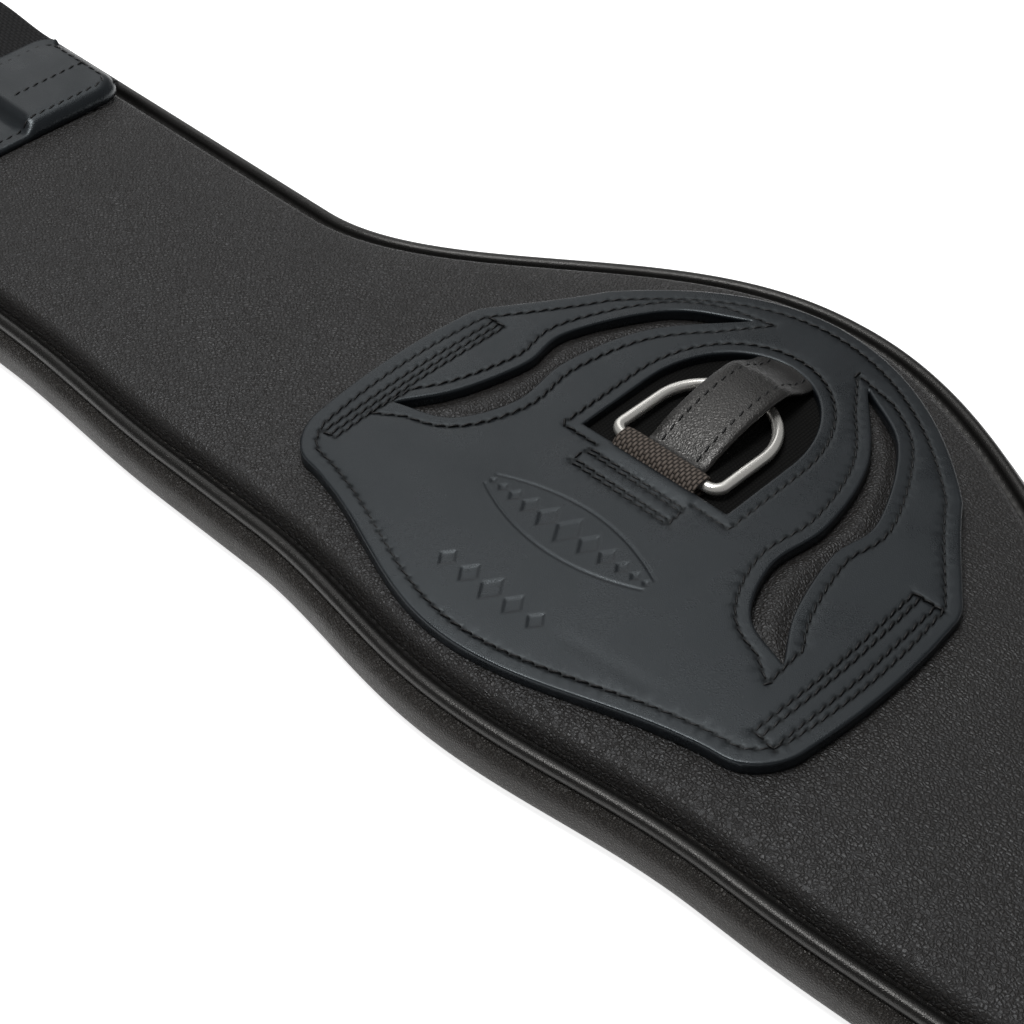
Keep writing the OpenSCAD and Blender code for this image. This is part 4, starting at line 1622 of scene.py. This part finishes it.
@dataclass
class BuckleEnd:
    """One elastic with its chape and buckle.

    Attributes:
        datum: the frame's measures.
        end: 1 for the right end, -1 for the left.
        row: 1 for the front buckle, -1 for the rear one.
        pitch: distance between the two buckles of an end.
        neck_y: middle line of the body.
        elastic_w: width of the elastic.
        elastic_t: its thickness.
        chape_w: width of the chape.
        chape_back: how far the chape reaches back from the bar.
        frame_half: half the buckle's width between wire centres.
        frame_len: the buckle's length between wire centres.
    """

    datum: Datum
    end: int
    row: int
    pitch: float = 50.0
    neck_y: float = -26.0
    elastic_w: float = 32.0
    elastic_t: float = 3.0
    chape_w: float = 24.6
    chape_back: float = 38.0
    frame_half: float = 15.5
    frame_len: float = 32.0

    @property
    def name(self) -> str:
        """The end and row as the frame names them."""
        return f"{'right' if self.end > 0 else 'left'}_{'front' if self.row > 0 else 'rear'}"

    def placed(self, surface: Surface) -> Surface:
        """A surface drawn for the right end on the line y = 0, put in its place."""
        shift = np.array([0.0, self.neck_y + self.row * self.pitch / 2, 0.0])
        moved = surface.placed(lambda p: p * np.array([self.end, 1, 1]) + shift)
        return moved if self.end > 0 else moved.flipped()

    def elastic(self) -> bpy.types.Object:
        """The elastic: a band that climbs from its patch to the chape, with a soft rib along it."""
        x, z = self.datum.heel_x, self.datum.buckle_z
        low = self.datum.crown_z + 0.1 + self.elastic_t / 2
        points = [
            (x - 103.9, low), (x - 92, low), (x - 80, low), (x - 71.5, low + 0.05), (x - 62, low + 0.9),
            (x - 53, z - 0.5), (x - 46, z), (x - 36, z), (x - 26, z), (x - 17.1, z),
        ]
        line = spline(np.array(points, float), 8)
        path = spaced(np.column_stack([line[:, 0], np.zeros(len(line)), line[:, 1]]), 90)
        section = rounded_band(self.elastic_w / 2, self.elastic_t / 2, 12, 40)
        rows = swept(path, section, np.array([0.0, 1.0, 0.0]))
        surface = self.placed(grid_surface(rows, wrap=True, caps=True).flipped())
        obj = piece(f"elastic_band_{self.name}", surface, self.datum, Finish.ELASTIC.material)
        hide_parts(f"elastic_{self.name}")
        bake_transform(obj)
        return obj

    def chape(self) -> list[bpy.types.Object]:
        """The leather fold round the heel bar: two leaves joined by bends either side of the tongue.

        Returns:
            The chape and its stitches.
        """
        x, z, r = self.datum.heel_x, self.datum.buckle_z, 2.96
        top = np.array([[x - self.chape_back, z + r], [x - 26, z + r], [x - 10, z + r]])
        bend = arc((x, z), r, 90, -90, 18)
        leaf = spaced(top, 12)[:-1]
        path = np.concatenate([leaf, [[x - 5, z + r]], bend, [[x - 5, z - r]], leaf[::-1] - [0, 2 * r]])
        line = np.column_stack([path[:, 0], np.zeros(len(path)), path[:, 1]])
        tangent = unit(np.gradient(line, axis=0))
        side = np.array([0.0, 1.0, 0.0])
        normal = unit(np.cross(tangent, side))
        hole, half = 3.0, self.chape_w / 2
        slit = np.abs(path[:, 0]) > x - 15.2
        parts = []
        for low, high, keep in ((-half, -hole, None), (hole, half, None), (-hole, hole, ~slit)):
            middle, width = (low + high) / 2, (high - low) / 2 - 0.01
            section = rounded_band(width, 0.86, 9, 28)
            runs = [np.arange(len(line))]
            if keep is not None:
                runs = [np.flatnonzero(keep[:20]), 20 + np.flatnonzero(keep[20:])]
            for run in runs:
                if len(run) < 2:
                    continue
                across = (middle + section[None, :, :1]) * side
                rows = line[run][:, None] + across + section[None, :, 1:] * normal[run][:, None]
                parts.append(grid_surface(rows, wrap=True, caps=True))
        chape = piece(
            f"chape_fold_{self.name}", self.placed(joined(parts)), self.datum, Finish.STRAP.material
        )
        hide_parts(f"chape_{self.name}")
        thread = Thread(length=2.6, radius=0.32, lift=0.3)
        back, front, wide = x - 35.6, x - 18, 9.6
        rows = []
        for height, up in ((z + r + 0.92, UP), (z - r - 0.92, -UP)):
            box = np.array([[back, -wide], [front, -wide], [front, wide], [back, wide], [back, -wide]])
            lines = [spaced(box, 60)]
            if height > z:
                lines += [spaced(np.array([[back, -w], [front, w]]), 20) for w in (wide, -wide)]
            rows += [thread.row(at_height(line_2d, height - 0.32 * np.sign(height - z)), up) for line_2d in lines]
        sewing = piece(
            f"chape_stitches_{self.name}", self.placed(joined(rows)), self.datum, Finish.THREAD.material
        )
        return [chape, sewing]

    def wire_loop(self) -> Surface:
        """The buckle's frame: a circle swept round a rectangle with round corners."""
        half, length, c = self.frame_half, self.frame_len, 3.0
        flat = np.concatenate(
            [
                arc((c, -half + c), c, 180, 270, 10), arc((length - c, -half + c), c, 270, 360, 10),
                arc((length - c, half - c), c, 0, 90, 10), arc((c, half - c), c, 90, 180, 10),
            ]
        )
        line = spaced(closed(flat), 180)[:-1]
        path = np.column_stack([self.datum.heel_x + line[:, 0], line[:, 1], np.full(len(line), self.datum.buckle_z)])
        tangent = unit(np.roll(path, -1, axis=0) - np.roll(path, 1, axis=0))
        side = unit(np.cross(tangent, UP))
        a = np.arange(24)[None, :, None] * 2 * np.pi / 24
        rows = path[:, None] + 2.0 * (np.cos(a) * side[:, None] + np.sin(a) * UP)
        return grid_surface(rows, wrap=True, wrap_rows=True)

    def build(self) -> None:
        """Makes the end's pieces."""
        for obj in self.chape():
            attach(obj, f"chape_{self.name}")
        wire = piece(
            f"buckle_wire_{self.name}", self.placed(self.wire_loop()), self.datum, Finish.STEEL.material
        )
        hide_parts(f"buckle_frame_{self.name}")
        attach(wire, f"buckle_frame_{self.name}")
        self.elastic()


@dataclass
class EndPatch:
    """The leather patch over one end's elastics.

    Attributes:
        datum: the frame's measures.
        end: 1 for the right end, -1 for the left.
        neck_y: middle line of the body.
        half: half the patch's width.
        inner: distance of its inner edge from the heel bars.
        outer: distance of its outer edge from them.
        thick: its thickness over the elastics.
    """

    datum: Datum
    end: int
    neck_y: float = -26.0
    half: float = 40.8
    inner: float = 108.0
    outer: float = 72.0
    thick: float = 5.2

    def loop(self, inset: float) -> Array:
        """The patch's outline drawn for the right end, moved in by a distance."""
        x0, x1 = self.datum.heel_x - self.inner + inset, self.datum.heel_x - self.outer - inset
        h, r = self.half - inset, 8.0 - inset
        return np.concatenate(
            [
                arc((x0 + r, -h + r), r, 180, 270, 8), arc((x1 - r, -h + r), r, 270, 360, 8),
                arc((x1 - r, h - r), r, 0, 90, 8), arc((x0 + r, h - r), r, 90, 180, 8),
            ]
        ) + np.array([0, self.neck_y])

    def build(self) -> None:
        """Makes the patch, humped over its two elastics, and its stitches."""
        loop = spaced(closed(self.loop(0)), 220)[:-1]
        rings = np.concatenate([offset_loop(loop, -d, 1.2) for d in (0.3, 0.7, 1.2, 2.0, 3.4, 4.2)])
        low, high = loop.min(axis=0), loop.max(axis=0)
        lattice = hex_points((low[0], low[1]), (high[0], high[1]), 1.9)
        lattice = lattice[inside(lattice, loop)]
        lattice = lattice[LoopDistance(loop)(lattice) > 5.0]
        flat = Region.filled([loop], np.concatenate([rings, lattice]))
        gap = LoopDistance(loop)(flat.points)
        across = np.abs(np.abs(flat.points[:, 1] - self.neck_y) - 25)
        hump = smooth((20.5 - across) / 4.5)
        base = self.datum.crown_z
        seam_in, edge_t = 3.6, 2.1
        seam_gap = LoopDistance(self.loop(seam_in))(flat.points)
        height = base + edge_t + (self.thick - edge_t) * hump * smooth(gap / 5 + 0.25)
        height -= 0.8 * (1 - np.sqrt(1 - np.clip(1 - gap / 1.1, 0, 1) ** 2)) + 0.3 * bell(seam_gap / 0.7)
        mouth = flat.points[:, 0] > self.datum.heel_x - self.outer - 5.0
        over = base + edge_t + (self.thick - edge_t) * hump - 0.8 * (gap < 0.2)
        height = np.where(mouth, np.maximum(height, over), height)
        surface = flat.slab(height, np.full(len(gap), base), 2)
        mirror = np.array([self.end, 1, 1])
        if self.end < 0:
            surface = surface.placed(lambda p: p * mirror).flipped()
        name = "right" if self.end > 0 else "left"
        patch = piece(f"end_cover_{name}", surface, self.datum, Finish.PATCH.material)
        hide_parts(f"end_patch_{name}")
        seam = spaced(closed(self.loop(seam_in)), 120)
        across = np.abs(np.abs(seam[:, 1] - self.neck_y) - 25)
        rise = base + edge_t + (self.thick - edge_t) * smooth((20.5 - across) / 4.5)
        rows = [Thread().row(np.column_stack([seam, rise - 0.25]) * mirror, UP)]
        for y in (-25, 25):
            cross_x, middle = self.datum.heel_x - 92, self.neck_y + y
            cross = spaced(np.array([[cross_x, middle - 13], [cross_x, middle + 13]]), 12)
            rows.append(Thread().row(at_height(cross, base + self.thick + 0.02) * mirror, UP))
        sewing = piece(f"end_stitches_{name}", joined(rows), self.datum, Finish.THREAD.material)
        for obj in (patch, sewing):
            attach(obj, "girth")


# ---------------------------------------------------------------- carried-over nodes and the studio


@dataclass
class PlainNodes:
    """The frame's own solids that are kept, each with its finish."""

    def build(self) -> None:
        """Dresses the web inside, and the buckles' tongues and rollers."""
        finish = {"core_web": Finish.CORE, "buckle_tongue": Finish.STEEL, "buckle_roller": Finish.STEEL}
        for name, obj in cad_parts.items():
            chosen = next((f for start, f in finish.items() if name.startswith(start)), None)
            if chosen is not None:
                obj.data.materials.clear()
                obj.data.materials.append(chosen.material)
                obj.data.shade_smooth()


@dataclass
class Studio:
    """A pale floor, a white sky, soft lights and the camera.

    Attributes:
        datum: the frame's measures.
        aim: the point of the patch's top that is looked at, in girth millimetres.
        back: unit direction from the target to the camera.
        distance: the camera's distance.
        lens: focal length for a 36 mm wide sensor.
    """

    datum: Datum
    aim: tuple[float, float] = (-13.44, -34.89)
    back: tuple[float, float, float] = (0.4995, -0.5103, 0.7001)
    distance: float = 0.4976
    lens: float = 74.5

    @property
    def target(self) -> Vector:
        """The point looked at, in row metres."""
        return Vector((self.aim[0], self.aim[1] + self.datum.window_y, self.datum.patch_top)) * MM

    def floor(self) -> None:
        """A wide pale floor just under the object."""
        half = 4.0
        mesh = bpy.data.meshes.new("floor")
        mesh.from_pydata([(-half, -half, 0), (half, -half, 0), (half, half, 0), (-half, half, 0)], [], [(0, 1, 2, 3)])
        n = Nodes("floor_white")
        grain = n.noise(n.coordinates(), 0.03, 2)
        n.link(n.blend(grain, (0.90, 0.90, 0.90), (0.92, 0.92, 0.92)), 2, n.shader, "Base Color")
        n.set(Roughness=0.9, Specular_IOR_Level=0.1, Emission_Color=(1, 1, 1, 1), Emission_Strength=0.8)
        mesh.materials.append(n.material)
        floor = bpy.data.objects.new("floor", mesh)
        bpy.context.scene.collection.objects.link(floor)

    def light(self, name: str, place: tuple[float, float, float], size: float, power: float) -> None:
        """A square area light aimed at the target.

        Args:
            name: the light's name.
            place: its place in metres from the target.
            size: its side in metres.
            power: its power in watts.
        """
        data = bpy.data.lights.new(name, "AREA")
        data.shape, data.size, data.energy = "SQUARE", size, power
        obj = bpy.data.objects.new(name, data)
        obj.location = self.target + Vector(place)
        obj.rotation_euler = (-Vector(place)).to_track_quat("-Z", "Y").to_euler()
        bpy.context.scene.collection.objects.link(obj)

    def camera(self) -> None:
        """The camera, level, looking along its line to the target."""
        data = bpy.data.cameras.new("camera")
        data.lens, data.sensor_width, data.clip_start, data.clip_end = self.lens, 36.0, 0.01, 50.0
        obj = bpy.data.objects.new("camera", data)
        back = Vector(self.back)
        obj.location = self.target + back * self.distance
        obj.rotation_euler = (-back).to_track_quat("-Z", "Y").to_euler()
        bpy.context.scene.collection.objects.link(obj)
        bpy.context.scene.camera = obj

    def sky(self, strength: float) -> None:
        """An even white sky."""
        world = bpy.data.worlds.new("sky")
        world.use_nodes = True
        shade = world.node_tree.nodes["Background"]
        shade.inputs["Color"].default_value = (1, 1, 1, 1)
        shade.inputs["Strength"].default_value = strength
        bpy.context.scene.world = world

    def build(self) -> None:
        """Sets the stage."""
        self.floor()
        self.sky(0.2)
        self.light("softbox", (-0.45, 0.5, 1.45), 0.8, 3.4)
        self.light("near", (-0.25, -0.2, 1.4), 0.5, 11.0)
        self.light("sheen", (-1.1, 0.75, 0.8), 0.9, 2.0)
        self.camera()
        bpy.context.scene.view_settings.view_transform = "Standard"


def main() -> None:
    """Builds the girth's pieces in order and reports them."""
    logging.basicConfig(level=logging.INFO, format="%(name)s: %(message)s")
    datum = Datum.from_frame()
    log.info("frame: %s", datum)
    patch = PatchOutline()
    PlainNodes().build()
    body = PaddedBody(datum, BodyOutline(datum.half_len - 4.0))
    body.build(patch)
    CentrePatch(datum, patch, body.panel_height).build()
    RingWindow(datum, patch).build()
    for end in (1, -1):
        EndPatch(datum, end).build()
        for row in (1, -1):
            BuckleEnd(datum, end, row).build()
    Studio(datum).build()


if __name__ == "__main__":
    main()
